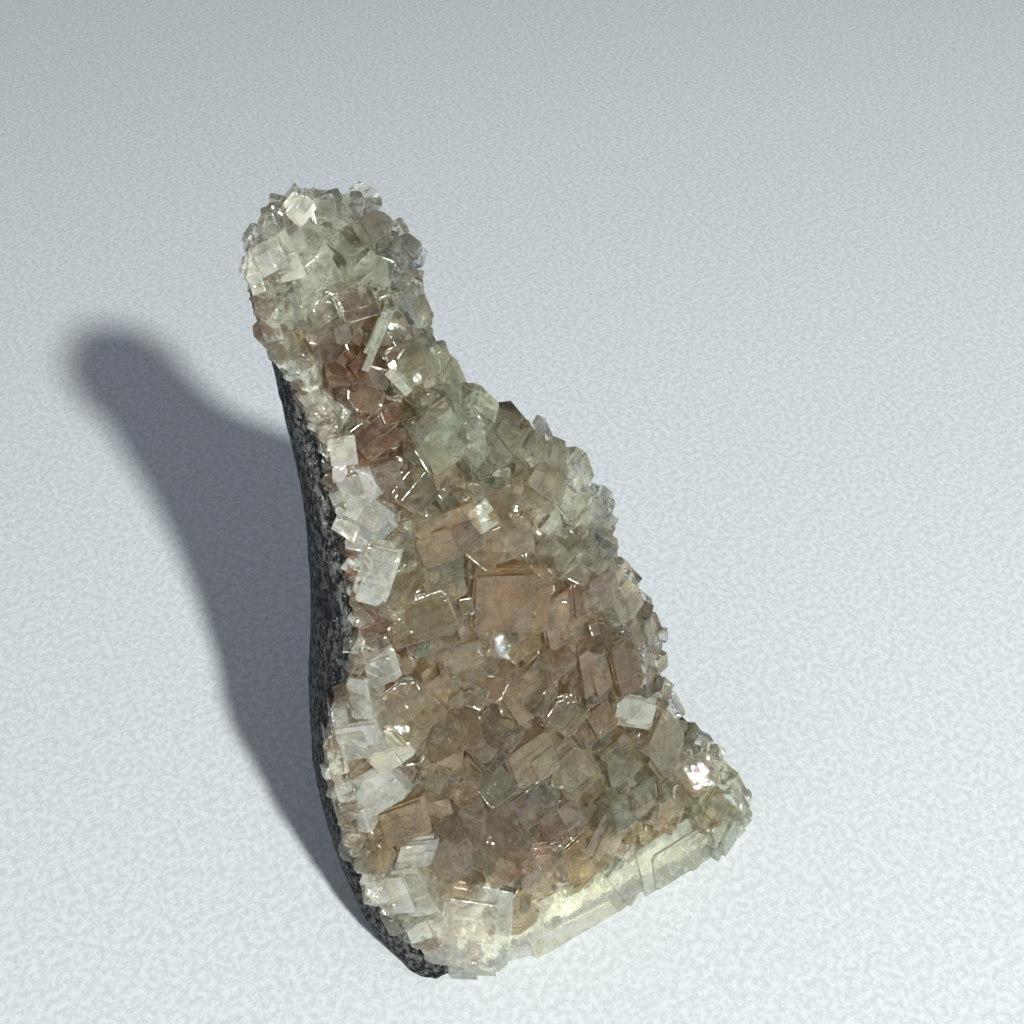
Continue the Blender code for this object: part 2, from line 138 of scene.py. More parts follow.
def rock_surface(height, dome, angle):
    """A level section of the rock is a rounded D, a superellipse that is blunt in front and round
    behind. Its front is held back to the hollow that the crust sits in, and dome shrinks it towards
    the top. Crossed waves make low lumps behind."""
    face, back = outline_at(FACE_DEPTH, height), outline_at(ROCK_BACK, height)
    left, right = outline_at(ROCK_LEFT, height), outline_at(ROCK_RIGHT, height)
    centre = face + (WIDEST_AT + DOME_BACK * (1 - dome)) * (back - face)
    power = 2 / np.where(np.sin(angle) < 0, FRONT_ROUNDNESS, BACK_ROUNDNESS)
    across = np.sign(np.cos(angle)) * np.abs(np.cos(angle)) ** power
    along = np.sign(np.sin(angle)) * np.abs(np.sin(angle)) ** power
    x = (left + right) / 2 + (right - left) / 2 * dome * across
    front = centre + (centre - face + FRONT_REACH) * dome * along
    front = np.maximum(front, face + recess(x, height))
    y = centre + (back - centre) * dome * along
    lump = (0.5 * np.sin(0.21 * x + 0.13 * height) * np.cos(0.17 * y - 0.11 * height)
            + 0.3 * np.sin(0.37 * height - 0.29 * x + 1.3)
            + 0.2 * np.sin(0.47 * y + 0.41 * height + 0.6))
    y = np.where(along < 0, front, y + LUMP_HEIGHT * lump * along)
    return np.stack(np.broadcast_arrays(x, y, height), -1)


def grid_faces(rows, columns, closed):
    """The quads of a grid of points, row by row. A closed grid joins its last column to its first."""
    row, column = np.meshgrid(np.arange(rows - 1), np.arange(columns if closed else columns - 1),
                              indexing="ij")
    after = (column + 1) % columns
    corners = (row * columns + column, row * columns + after,
               (row + 1) * columns + after, (row + 1) * columns + column)
    return np.stack(corners, -1).reshape(-1, 4)


def grid_normals(points):
    """Unit normals of a closed grid: the cross product of its two directions."""
    around = np.roll(points, -1, 1) - np.roll(points, 1, 1)
    upward = np.gradient(points, axis=0)
    normal = np.cross(around, upward)
    return normal / np.maximum(np.linalg.norm(normal, axis=-1, keepdims=True), 1e-9)


def add_mesh(name, points, faces, smooth):
    """A linked object from points in millimetres and a list of faces."""
    mesh = bpy.data.meshes.new(name)
    mesh.from_pydata(np.asarray(points).reshape(-1, 3) * MM, [], faces)
    mesh.validate()
    mesh.polygons.foreach_set("use_smooth", np.full(len(mesh.polygons), smooth))
    piece = bpy.data.objects.new(name, mesh)
    bpy.context.scene.collection.objects.link(piece)
    return piece


def new_node(tree, kind, settings=None, **inputs):
    """A shader node with its settings, and its inputs set to a value or linked to a socket."""
    made = tree.nodes.new(kind)
    for setting, value in (settings or {}).items():
        setattr(made, setting, value)
    for socket, value in inputs.items():
        target = made.inputs[int(socket[1:]) if socket[1:].isdigit() else socket.replace("_", " ")]
        if isinstance(value, bpy.types.NodeSocket):
            tree.links.new(value, target)
        else:
            target.default_value = value
    return made


def between(tree, value, low, high, to_low=0.0, to_high=1.0):
    """A value taken by a smooth step from one range to another."""
    step = new_node(tree, "ShaderNodeMapRange", {"interpolation_type": "SMOOTHSTEP"},
                    Value=value, From_Min=low, From_Max=high, To_Min=to_low, To_Max=to_high)
    return step.outputs["Result"]


def blended(tree, amount, first, second, kind="MIX"):
    """A colour between two colours."""
    mix = new_node(tree, "ShaderNodeMix", {"data_type": "RGBA", "blend_type": kind},
                   s0=amount, s6=first, s7=second)
    return mix.outputs[2]


def noise(tree, place, scale, detail=3.0, roughness=0.55, distortion=0.0):
    made = new_node(tree, "ShaderNodeTexNoise", Vector=place, Scale=scale, Detail=detail,
                    Roughness=roughness, Distortion=distortion)
    return made.outputs["Fac"]


def stretched(tree, scale, turn=(0, 0, 0)):
    """Object coordinates, scaled and turned, so that a pattern is drawn out along an axis."""
    place = new_node(tree, "ShaderNodeTexCoord").outputs["Object"]
    mapping = new_node(tree, "ShaderNodeMapping", Vector=place, Scale=scale, Rotation=turn)
    return mapping.outputs["Vector"]


def new_material(name):
    """A material with its node tree and its main shader."""
    made = bpy.data.materials.new(name)
    made.use_nodes = True
    return made, made.node_tree, made.node_tree.nodes["Principled BSDF"]


def add_relief(tree, shader, height, strength, distance):
    bump = new_node(tree, "ShaderNodeBump", Strength=strength, Distance=distance, Height=height)
    tree.links.new(bump.outputs["Normal"], shader.inputs["Normal"])


def basalt_material():
    """Dark grey lava rock: fibrous grey and blue-black mottling, pale specks and rough grain."""
    made, tree, shader = new_material("ground_basalt")
    drawn_out = stretched(tree, (1, 1, 0.45))
    even = stretched(tree, (1, 1, 1))
    fibres = noise(tree, drawn_out, 1500, detail=4, roughness=0.75)
    patches = noise(tree, drawn_out, 160, detail=3)
    specks = noise(tree, even, 2100, detail=1)
    colour = blended(tree, between(tree, fibres, 0.43, 0.60), (0.008, 0.009, 0.013, 1),
                     (0.125, 0.125, 0.12, 1))
    colour = blended(tree, between(tree, patches, 0.50, 0.68, 0, 0.75), colour,
                     (0.007, 0.008, 0.016, 1))
    colour = blended(tree, between(tree, specks, 0.66, 0.74, 0, 0.7), colour,
                     (0.36, 0.35, 0.32, 1))
    tree.links.new(colour, shader.inputs["Base Color"])
    tree.links.new(between(tree, fibres, 0.3, 0.7, 0.95, 0.62), shader.inputs["Roughness"])
    add_relief(tree, shader, fibres, strength=0.8, distance=0.25 * MM)
    shader.inputs["Specular IOR Level"].default_value = 0.35
    return made


def make_basalt():
    shoulder = ROCK_HEIGHT - ROCK_DOME
    turns = np.linspace(0, math.pi / 2, DOME_LEVELS + 1)[1:-1]
    heights = np.append(np.linspace(0, shoulder, ROCK_LEVELS), shoulder + ROCK_DOME * np.sin(turns))
    domes = np.append(np.ones(ROCK_LEVELS), np.cos(turns))
    angles = np.linspace(0, 2 * math.pi, ROCK_AROUND, endpoint=False)
    points = rock_surface(heights[:, None], domes[:, None], angles[None, :])
    drawn = points * (1, 1, 1 / GRAIN_STRETCH)
    grains = 0.6 * mottle(drawn, GRAIN_SIZE, 1) + 0.4 * mottle(drawn, GRAIN_SIZE / 2, 2)
    grains += SWELL * mottle(points, SWELL_SIZE, 3)
    points = points + GRAIN_HEIGHT * grains[..., None] * grid_normals(points)
    points[0, :, 2] = 0
    rows = len(heights)
    faces = grid_faces(rows, ROCK_AROUND, closed=True).tolist()
    top = rows * ROCK_AROUND
    last = np.arange(ROCK_AROUND) + (rows - 1) * ROCK_AROUND
    faces += np.stack([last, np.roll(last, -1), np.full(ROCK_AROUND, top)], -1).tolist()
    faces.append(list(range(ROCK_AROUND))[::-1])
    peak = points[-1].mean(0) + (0, 0, 0.05)
    rock = add_mesh("basalt", np.vstack([points.reshape(-1, 3), peak]), faces, smooth=True)
    rock.data.materials.append(basalt_material())
    return rock


basalt = make_basalt()
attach(basalt, "root")
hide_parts("basalt_matrix")


# The massive foot of the crust
# Where the crystals start from the rock they are grown together into a cloudy crust a few
# millimetres thick, with rust stains, which shows through them and as a seam at the left edge.
# Along its lower edge its colour also holds a painted glow, for light that comes through the crystals.
CRUST_RIGHT = [
    (0, 33.5), (6, 34), (12, 31.5), (21, 26.7), (30, 21), (40, 21), (46, 20), (52, 17.6),
    (58, 14.2), (68, 13.6), (72, 11.6), (78, 7.6), (86, 0.2), (91, -4), (97, -6.8),
    (104, -7.2), (110, -7.6), (115, -10.6), (119, -16),
]
CRUST_HEIGHT = 118.0     # of the crystals, and of the foot below them
FOOT_HEIGHT = 114.0
RIM_IN = 2.6             # how far it stays inside the clear crystals of the right rim
FOOT_THICKNESS = 3.0
SEAM_THICKNESS = 1.5     # of the foot at the left edge
FOOT_BURIED = 1.2        # how deep its back lies in the rock
FOOT_ROUNDING = 12       # its front rounds over in this part of the width on either side
FOOT_ROUNDS_AT = 105.0   # the height where its sides start to close over the top
FOOT_LEVELS = 250
FOOT_ACROSS = 130
LUMP_SIZE = 2.6
LUMP_DEPTH = 0.8
CRUMB_SIZE = 1.0
CRUMB_DEPTH = 0.3
SEAM_WIDTH = 1.6         # of the whitish and rusty strip along the left edge
SEAM_STRENGTH = 0.9
SEAM_PATCH = 2.4         # the size of its rusty patches
SEAM_PALE = (0.42, 0.40, 0.33)
SEAM_RUST = (0.15, 0.075, 0.05)
FOOT_SHADE = 0.68        # takes all of the foot's colours down by this
GROUND = (0.25, 0.205, 0.135)    # the foot's colour between its stains
RAGGED = ((2.6, 5.0), (1.2, 1.8))    # how far its stains' outlines wander, and over what length
STAIN_PLATEAU = 1.35     # past 1, a stain keeps its full strength around its middle
# Stains, clear places and a painted glow: x and height of the middle, half width, half height, colour,
# strength
STAINS_AND_GLOW = [
    (-18.0, 96.0, 7.0, 8.0, (0.13, 0.062, 0.043), 0.95),        # rust band below the head
    (-20.5, 104.0, 5.0, 4.0, (0.16, 0.08, 0.045), 0.7),
    (-17.5, 84.0, 4.5, 8.0, (0.17, 0.085, 0.055), 0.8),         # red-brown below it
    (-14.0, 109.0, 8.0, 8.0, (0.22, 0.22, 0.19), 0.85),         # grey-green head
    (-23.0, 111.0, 5.0, 8.0, (0.38, 0.38, 0.34), 0.85),
    (-4.0, 82.0, 9.0, 8.0, (0.26, 0.28, 0.22), 0.8),            # clear green neck
    (8.0, 68.0, 7.0, 10.0, (0.46, 0.46, 0.41), 0.8),            # grey-white right rim
    (-4.0, 59.0, 7.0, 7.0, (0.25, 0.17, 0.115), 0.85),          # peach block
    (-14.0, 62.0, 7.0, 9.0, (0.20, 0.19, 0.12), 0.6),
    (-22.0, 60.0, 3.5, 12.0, (0.20, 0.08, 0.045), 0.8),         # left edge
    (8.0, 48.0, 7.0, 9.0, (0.24, 0.165, 0.12), 0.7),            # peach towards the right
    (-8.0, 45.0, 9.0, 8.0, (0.23, 0.16, 0.10), 0.7),
    (8.0, 34.0, 8.0, 6.0, (0.25, 0.155, 0.10), 0.6),
    (-24.0, 30.0, 7.0, 8.0, (0.40, 0.34, 0.25), 0.6),
    (-4.0, 22.0, 9.0, 7.0, (0.21, 0.17, 0.13), 0.7),            # smoky blocks above the foot
    (-14.0, 27.0, 7.0, 6.0, (0.15, 0.115, 0.10), 0.75),
    (14.0, 19.0, 10.0, 7.0, (0.16, 0.15, 0.11), 0.7),
    (-5.5, 16.0, 4.0, 3.2, (0.24, 0.085, 0.035), 0.95),         # orange-red stain in a block
    (-20.0, 14.0, 8.0, 8.0, (0.38, 0.34, 0.28), 0.7),
    # Painted glow: the cream and white lower edge is partly the foot's own pale colour and partly
    # painted light that comes through the crystals.
    (0.0, 3.0, 34.0, 7.0, (1.0, 1.0, 0.88), 0.95),              # cream and white lower edge
    (22.0, 7.0, 11.0, 6.0, (0.42, 0.44, 0.36), 0.9),
    (-21.0, 1.5, 2.0, 2.0, (0.30, 0.08, 0.04), 0.9),
]


def stain_and_glow_colours(x, height):
    """The cloudy crust's colour: a brown ground, over which the stains and the painted glow along the
    lower edge are laid, each with a bell-shaped strength. A coarse noise shifts the places, so that
    their outlines are ragged."""
    place = np.stack([x, np.zeros_like(x), height], -1)
    for i, (far, size) in enumerate(RAGGED):
        x = x + far * mottle(place, size, 11 + i)
        height = height + far * mottle(place, size, 13 + i)
    colour = np.broadcast_to(np.array(GROUND), (*np.shape(x), 3)).copy()
    for middle, level, wide, tall, stain_and_glow, strength in STAINS_AND_GLOW:
        share = np.exp(-((x - middle) / wide) ** 2 - ((height - level) / tall) ** 2)
        share = np.clip(STAIN_PLATEAU * strength * share, 0, strength)[..., None]
        colour = colour * (1 - share) + np.array(stain_and_glow) * share
    from_left = np.maximum(x - outline_at(CRUST_LEFT, height), 0)
    seam = (SEAM_STRENGTH * np.exp(-(from_left / SEAM_WIDTH) ** 2))[..., None]
    rusty = np.clip(0.5 + 1.6 * mottle(place, SEAM_PATCH, 15), 0, 1)[..., None]
    seam_colour = np.array(SEAM_PALE) * (1 - rusty) + np.array(SEAM_RUST) * rusty
    return (colour * (1 - seam) + seam_colour * seam) * FOOT_SHADE


def foot_material():
    """Cloudy crystal mass with rust stains and a painted glow along its lower edge: fairly rough, with
    a glassy film and a crumbly surface.
    """
    made, tree, shader = new_material("stained_crust_and_painted_glow")
    stain_and_glow = new_node(tree, "ShaderNodeAttribute", {"attribute_name": "stain_and_glow"}).outputs["Color"]
    place = stretched(tree, (1, 1, 1))
    cloud = noise(tree, place, 420, detail=4, roughness=0.65, distortion=0.6)
    grit = noise(tree, place, 1500, detail=3, roughness=0.6)
    colour = blended(tree, between(tree, cloud, 0.35, 0.62, 0.0, 0.35), stain_and_glow,
                     (1.5, 1.45, 1.35, 1), "MULTIPLY")
    colour = blended(tree, between(tree, grit, 0.52, 0.70, 0.0, 0.55), colour,
                     (0.30, 0.17, 0.10, 1), "MULTIPLY")
    tree.links.new(colour, shader.inputs["Base Color"])
    tree.links.new(between(tree, grit, 0.3, 0.7, 0.6, 0.25), shader.inputs["Roughness"])
    add_relief(tree, shader, grit, strength=0.7, distance=0.35 * MM)
    return made


def make_crust_foot():
    heights = np.linspace(0, FOOT_HEIGHT, FOOT_LEVELS)[:, None]
    shares = np.linspace(0, 1, FOOT_ACROSS)[None, :]
    left = outline_at(CRUST_LEFT, heights)
    right = outline_at(CRUST_RIGHT, heights) - RIM_IN
    above = np.clip((heights - FOOT_ROUNDS_AT) / (FOOT_HEIGHT - FOOT_ROUNDS_AT), 0, 0.995)
    x = (left + right) / 2 + (right - left) * np.sqrt(1 - above ** 2) * (shares - 0.5)
    height = np.broadcast_to(heights, x.shape)
    behind = recess(x, height)
    thick = SEAM_THICKNESS + (FOOT_THICKNESS - SEAM_THICKNESS) * (
        (behind - EDGE_THICKNESS) / (CRUST_THICKNESS - EDGE_THICKNESS))
    face = outline_at(FACE_DEPTH, height)
    place = np.stack([x, face, height], -1)
    lumps = LUMP_DEPTH * np.abs(mottle(place, LUMP_SIZE, 21))
    lumps = lumps + CRUMB_DEPTH * mottle(place, CRUMB_SIZE, 22)
    inside = np.clip(np.minimum(shares * FOOT_ROUNDING, (1 - shares) * FOOT_ROUNDING), 0, 1)
    front = np.stack([x, face + behind - (thick + lumps) * np.sqrt(inside), height], -1)
    back = np.stack([x, face + behind + FOOT_BURIED, height], -1)
    ring = np.concatenate([front, back[:, ::-1]], 1)
    columns = ring.shape[1]
    faces = grid_faces(FOOT_LEVELS, columns, closed=True).tolist()
    half = np.arange(FOOT_ACROSS - 1)
    for row, turned in ((0, True), (FOOT_LEVELS - 1, False)):
        start = row * columns
        cap = np.stack([start + half, start + half + 1, start + columns - 2 - half,
                        start + columns - 1 - half], -1)
        faces += (cap[:, ::-1] if turned else cap).tolist()
    piece = add_mesh("crust_foot", ring, faces, smooth=True)
    colours = np.ones((FOOT_LEVELS, columns, 4), np.float32)
    colours[..., :3] = stain_and_glow_colours(ring[..., 0], ring[..., 2])
    # The foot's colour, with its stains and the painted glow along its lower edge, kept at its points.
    stain_and_glow = piece.data.attributes.new("stain_and_glow", "FLOAT_COLOR", "POINT")
    stain_and_glow.data.foreach_set("color", colours.ravel())
    piece.data.materials.append(foot_material())
    return piece


crust_foot = make_crust_foot()
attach(crust_foot, "root")
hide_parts("apophyllite_crust")


# The crystals
# Square prisms of apophyllite with flat ends, their top corners cut by pyramid faces. They grow
# side by side out of the massive foot and through each other, clear, milky or smoky, and are
# fused where they meet.
SLOPE = 1.15             # how steeply a pyramid face drops from the flat end
FACE_LEAN = math.radians(15)
ROOT = 7.5               # from a crystal's tip to its root, inside the crust
ROOT_AT_EDGE = 2.6       # and at the crust's edge, so that no root comes out behind
ROOT_SLOPE = 1.1         # how much longer a root is for each millimetre farther in
INDEX = 1.535            # of refraction
SEED = 7
# Each has its tip's x and height, half widths, how far it stands out of the face, its axis's lean
# to the right and up in degrees, its turn about the axis, its corners' cut, and its tone.
LARGE_CRYSTALS = [
    # white and cream blocks along the foot
    (-19.5, 11.0, 6.2, 6.0, 1.4, -24, 26, -12, 0.22, "milk"),
    (-3.0, 3.6, 7.6, 4.8, 0.8, -8, 14, 3, 0.10, "cream"),
    (17.5, 4.2, 7.4, 5.0, 0.4, 0, 14, 5, 0.14, "pale"),
    (-12.0, 8.0, 2.6, 3.2, 0.6, -20, 10, 30, 0.40, "smoke"),
    (-13.5, 2.4, 4.0, 4.0, 0.2, -14, 6, -8, 0.20, "cream"),
    (-20.0, 2.4, 3.4, 4.0, -0.2, -30, 2, 10, 0.24, "milk"),
    (8.0, 3.8, 4.2, 5.0, 0.3, 4, 6, 14, 0.24, "cream"),
    (24.0, 10.5, 3.4, 3.0, 0.6, 14, 20, 18, 0.25, "olive"),
    (27.2, 3.6, 3.9, 4.6, 0.0, 18, 8, 12, 0.22, "pale"),
    (30.2, 9.0, 2.3, 3.6, 0.2, 34, 10, 10, 0.35, "water"),
    (-25.5, 12.5, 3.0, 3.4, 0.2, -34, 0, 20, 0.30, "milk"),
    # the low left shoulder
    (-27.5, 21.5, 3.4, 4.6, 0.6, -30, 4, 12, 0.30, "milk"),
    (-24.5, 27.5, 2.7, 2.3, 1.0, -18, 16, -10, 0.20, "milk"),
    (-25.0, 33.5, 3.4, 3.0, 1.0, -20, 10, 16, 0.20, "peach"),
    (-30.8, 29.5, 1.6, 2.4, 0.2, -42, 6, 8, 0.35, "peach"),
    (-30.6, 23.5, 1.9, 2.3, 0.2, -46, 10, 24, 0.30, "water"),
    (-31.2, 36.0, 1.4, 2.2, 0.0, -50, 0, 12, 0.30, "milk"),
    (-29.6, 17.0, 1.9, 2.1, 0.2, -40, 12, 34, 0.26, "water"),
    (-28.5, 40.0, 3.6, 3.2, 0.6, -36, 10, 34, 0.30, "milk"),
    (-28.4, 49.2, 2.9, 2.5, 0.8, -32, 12, 10, 0.20, "milk"),
    (-25.4, 46.0, 2.7, 3.0, 0.9, -24, 8, 28, 0.20, "cream"),
    (-27.0, 54.5, 1.4, 3.0, 0.3, -44, 4, 6, 0.30, "milk"),
    (-23.0, 38.0, 2.2, 2.4, -0.4, -10, 16, 38, 0.30, "rust"),
    (-23.2, 58.0, 2.2, 2.3, 0.4, -22, 14, 12, 0.30, "milk"),
    # tall blocks above the foot
    (-12.6, 24.5, 3.7, 6.6, 2.0, -20, 24, 14, 0.24, "smoke"),
    (-19.3, 24.0, 3.2, 4.2, 0.8, -14, 8, 32, 0.30, "smoke"),
    (-6.2, 15.0, 3.6, 3.4, 1.4, -12, 30, -8, 0.10, "clear"),
    (0.8, 13.0, 3.5, 3.7, 1.0, -4, 16, 24, 0.20, "peach"),
    (6.2, 14.5, 3.8, 4.0, 0.6, 6, 10, 44, 0.28, "smoke"),
    (-6.0, 26.5, 3.5, 3.0, 0.8, -10, 26, 20, 0.30, "smoke"),
    (-1.4, 20.8, 3.2, 3.1, 0.4, -4, 20, 8, 0.22, "smoke"),
    (11.0, 18.0, 4.4, 2.9, 0.4, 8, 26, 4, 0.18, "green"),
    (16.8, 13.0, 3.2, 3.0, 0.2, 10, 14, 30, 0.30, "smoke"),
    (22.0, 18.5, 2.9, 3.3, 1.2, -10, 24, 18, 0.42, "clear"),
    (17.2, 26.5, 3.9, 4.0, 1.2, 12, 20, 30, 0.36, "olive"),
    (10.0, 26.5, 3.0, 3.3, 0.4, -8, 24, 12, 0.20, "olive"),
    (1.8, 28.5, 3.2, 3.4, 0.6, -14, 18, 36, 0.24, "olive"),
    # the broad blocks of the middle
    (-4.0, 60.5, 5.4, 5.0, 1.2, -20, 12, -10, 0.14, "peach"),
    (-17.0, 63.0, 4.4, 3.0, 0.8, -20, 26, 10, 0.12, "olive"),
    (-18.4, 68.5, 2.8, 2.5, 0.2, -12, 16, 30, 0.26, "olive"),
    (-12.6, 66.5, 2.7, 3.3, 0.4, -16, 10, 14, 0.20, "olive"),
    (-11.0, 73.0, 4.4, 3.4, 1.0, -6, 10, 4, 0.14, "peach"),
    (-18.2, 73.5, 2.6, 3.6, 0.4, -14, 6, 8, 0.24, "green"),
    (-21.5, 50.0, 4.0, 3.9, 0.6, -18, 18, 28, 0.22, "olive"),
    (-15.4, 45.0, 3.8, 3.8, 0.9, -14, 24, 12, 0.18, "olive"),
    (-19.0, 42.0, 2.6, 2.6, -0.2, -10, 10, 40, 0.30, "olive"),
    (-10.0, 40.5, 3.9, 3.8, 0.9, -14, 22, 38, 0.16, "smoke"),
    (-3.3, 45.0, 3.7, 3.6, 0.5, -8, 20, 22, 0.22, "olive"),
    (-11.2, 53.5, 3.7, 3.2, 0.4, -16, 18, 8, 0.20, "olive"),
    (-4.4, 33.5, 3.5, 3.3, 0.6, -10, 14, 16, 0.24, "olive"),
    (1.8, 38.0, 2.6, 2.8, 0.2, -4, 22, 34, 0.26, "green"),
    (6.2, 35.0, 3.5, 2.6, 0.5, 4, 24, 4, 0.18, "peach"),
    (3.6, 54.0, 3.1, 3.8, 0.6, -2, 8, 12, 0.30, "peach"),
    (3.6, 64.5, 3.4, 3.1, 0.6, -6, 22, 24, 0.20, "green"),
    (-2.2, 68.5, 2.8, 2.5, 0.5, -10, 20, 8, 0.18, "olive"),
    (-5.8, 73.6, 1.6, 1.9, 0.8, -6, 8, 14, 0.20, "pale"),
    # the clear blocks of the right rim
    (7.0, 43.5, 2.4, 4.6, 1.0, 2, 6, 8, 0.44, "smoke"),
    (12.4, 43.0, 2.6, 4.4, 1.3, 4, 8, -4, 0.50, "peach"),
    (16.8, 40.5, 2.8, 5.2, 0.4, 28, 4, 4, 0.22, "clear"),
    (12.8, 34.0, 3.0, 2.4, 0.6, -10, 30, -24, 0.10, "milk"),
    (15.8, 47.5, 3.0, 2.8, 0.4, 22, 18, 22, 0.24, "clear"),
    (13.6, 53.8, 2.8, 3.6, 0.4, 24, 10, 8, 0.30, "clear"),
    (8.4, 56.5, 3.1, 2.8, 0.9, -2, 20, 4, 0.28, "smoke"),
    (10.0, 62.5, 2.8, 3.2, 0.5, 16, 14, 26, 0.36, "water"),
    (8.2, 70.6, 3.0, 2.4, 0.6, 10, 26, 12, 0.26, "water"),
    (4.6, 75.6, 3.0, 2.2, 0.0, 10, 18, 36, 0.30, "smoke"),
    # the neck, with its pale blades and the sharp point on the right
    (-8.9, 86.5, 3.6, 4.6, 0.8, -2, 6, 14, 0.20, "green"),
    (-4.2, 82.4, 2.8, 3.0, 0.4, 2, 16, 30, 0.26, "water"),
    (-1.2, 83.2, 1.9, 2.2, 1.0, 14, 34, 20, 0.55, "water"),
    (-13.6, 80.6, 2.8, 2.4, 0.6, -14, 20, 40, 0.20, "olive"),
    (-18.0, 82.6, 2.6, 2.7, 0.0, -16, 2, 10, 0.22, "smoke"),
    (-17.6, 88.8, 2.6, 2.4, 0.0, -14, 8, 24, 0.22, "rust"),
    (-22.0, 88.4, 1.6, 1.9, 0.2, -24, 14, 0, 0.16, "milk"),
    (-21.4, 83.6, 2.3, 2.3, 0.8, -26, 18, 22, 0.70, "milk"),
    (-20.6, 78.6, 2.2, 2.8, 0.5, -24, 6, 40, 0.50, "milk"),
    (-21.4, 71.6, 2.3, 3.8, 1.0, -28, 14, -16, 0.55, "milk"),
    (-22.6, 65.0, 2.0, 2.6, -0.4, -20, 10, 16, 0.30, "rust"),
    (-6.4, 92.0, 1.9, 2.4, 0.4, 24, 16, 10, 0.30, "water"),
    (-3.2, 88.0, 1.9, 2.2, 0.4, 26, 18, 20, 0.30, "water"),
    (2.4, 80.4, 2.2, 2.0, 0.6, 18, 26, 12, 0.30, "water"),
    (5.8, 78.2, 1.8, 1.8, 0.4, 24, 24, 30, 0.40, "water"),
    (9.0, 74.6, 1.9, 2.0, 0.4, 24, 20, 8, 0.30, "clear"),
    (11.8, 68.4, 1.8, 2.4, 0.3, 30, 12, 16, 0.30, "clear"),
    (-11.4, 96.5, 3.2, 2.6, 0.4, -6, 24, 12, 0.16, "green"),
    (-15.6, 101.2, 0.42, 3.9, 1.7, -34, 12, -16, 0.20, "pale"),
    (-14.0, 95.4, 0.55, 1.9, 1.6, -24, 8, 40, 0.20, "pale"),
    # the head
    (-23.6, 115.0, 1.9, 2.1, 0.7, -24, 14, 24, 0.24, "water"),
    (-21.0, 117.2, 1.4, 1.2, 0.5, -14, 10, 40, 0.30, "milk"),
    (-18.4, 116.6, 1.5, 1.2, 0.2, -8, 20, 8, 0.24, "water"),
    (-25.6, 113.4, 1.6, 1.7, 0.6, -36, 8, 30, 0.24, "milk"),
    (-24.4, 116.4, 1.3, 1.4, 0.4, -30, 24, 12, 0.34, "water"),
    (-27.2, 109.6, 1.2, 1.7, 0.3, -48, 4, 22, 0.30, "water"),
    (-26.6, 107.8, 1.5, 2.0, 0.2, -46, 6, 12, 0.30, "water"),
    (-26.3, 103.4, 1.6, 1.9, 0.3, -42, 12, 30, 0.24, "green"),
    (-25.0, 99.2, 1.6, 2.1, 0.3, -44, 0, 8, 0.30, "water"),
    (-24.0, 95.0, 1.5, 1.8, 0.4, -40, 14, 24, 0.40, "clear"),
    (-23.4, 91.4, 1.4, 1.9, 0.4, -44, 6, 14, 0.26, "water"),
    (-26.4, 111.4, 1.2, 1.6, 0.4, -38, 10, 12, 0.30, "water"),
    (-23.8, 111.6, 1.6, 1.5, 0.4, -26, 10, 10, 0.26, "milk"),
    (-13.4, 113.0, 2.0, 1.6, 0.2, 6, 24, 12, 0.30, "smoke"),
    (-10.2, 109.2, 1.3, 1.6, 0.2, 26, 10, 20, 0.50, "water"),
    (-16.4, 109.8, 1.9, 1.8, 0.4, -10, 16, 36, 0.24, "green"),
    (-20.6, 110.0, 2.2, 1.7, 0.3, -26, 8, 14, 0.22, "water"),
    (-25.4, 106.5, 2.0, 2.2, 0.2, -34, 8, 10, 0.28, "water"),
    (-21.0, 105.4, 2.2, 1.7, 0.2, -16, 22, 30, 0.20, "green"),
    (-9.4, 102.8, 1.5, 2.4, 0.4, 18, 12, 8, 0.28, "clear"),
    (-16.6, 105.0, 2.2, 1.6, 0.3, -12, 24, 6, 0.18, "smoke"),
]
# The one crystal whose end mirrors the lamp into the camera. Nothing skews it.
MIRROR_CRYSTAL = (22.2, 19.8, 2.3, 2.7, 2.2, -19.4, 36.1, 18, 0.42, "clear")
# Each tone's colour, and which of the three kinds of crystal it is
TONES = {
    "clear": ((0.93, 0.94, 0.91), "clear"),
    "water": ((0.80, 0.82, 0.77), "clear"),
    "green": ((0.63, 0.67, 0.59), "clear"),
    "milk": ((0.80, 0.81, 0.76), "milky"),
    "pale": ((0.68, 0.71, 0.62), "milky"),
    "cream": ((0.92, 0.91, 0.79), "milky"),
    "smoke": ((0.47, 0.43, 0.38), "smoky"),
    "olive": ((0.55, 0.51, 0.40), "smoky"),
    "peach": ((0.55, 0.44, 0.32), "smoky"),
    "rust": ((0.36, 0.25, 0.19), "smoky"),
}
TONE_SPREAD = 0.33       # how much lighter or darker than its tone a crystal may be
WARMTH_SPREAD = 0.03     # and how much warmer or cooler
SKEW_LOW = (-0.12, -0.12, -0.24, -0.05, -0.2)    # how far a crystal's form departs from a right one
SKEW_HIGH = (0.12, 0.12, 0.05, 0.24, 0.2)
# A large crystal's growth steps: narrower plates at its corners, and a broader form that ends lower
TWO_PLATES_FROM = 1.8    # the half width from which a crystal has two plates
PLATE_WIDTH = (0.5, 0.9)     # as a share of the crystal's
PLATE_SHIFT = (0.8, 1.05)    # how far it moves towards a corner
PLATE_RISE = (0.1, 0.5)
PLATE_CUT = (0.05, 0.3)
LOWER_WIDER = (1.04, 1.16)
LOWER_NARROWER = (0.55, 0.85)
LOWER_DROP = (0.4, 1.1)
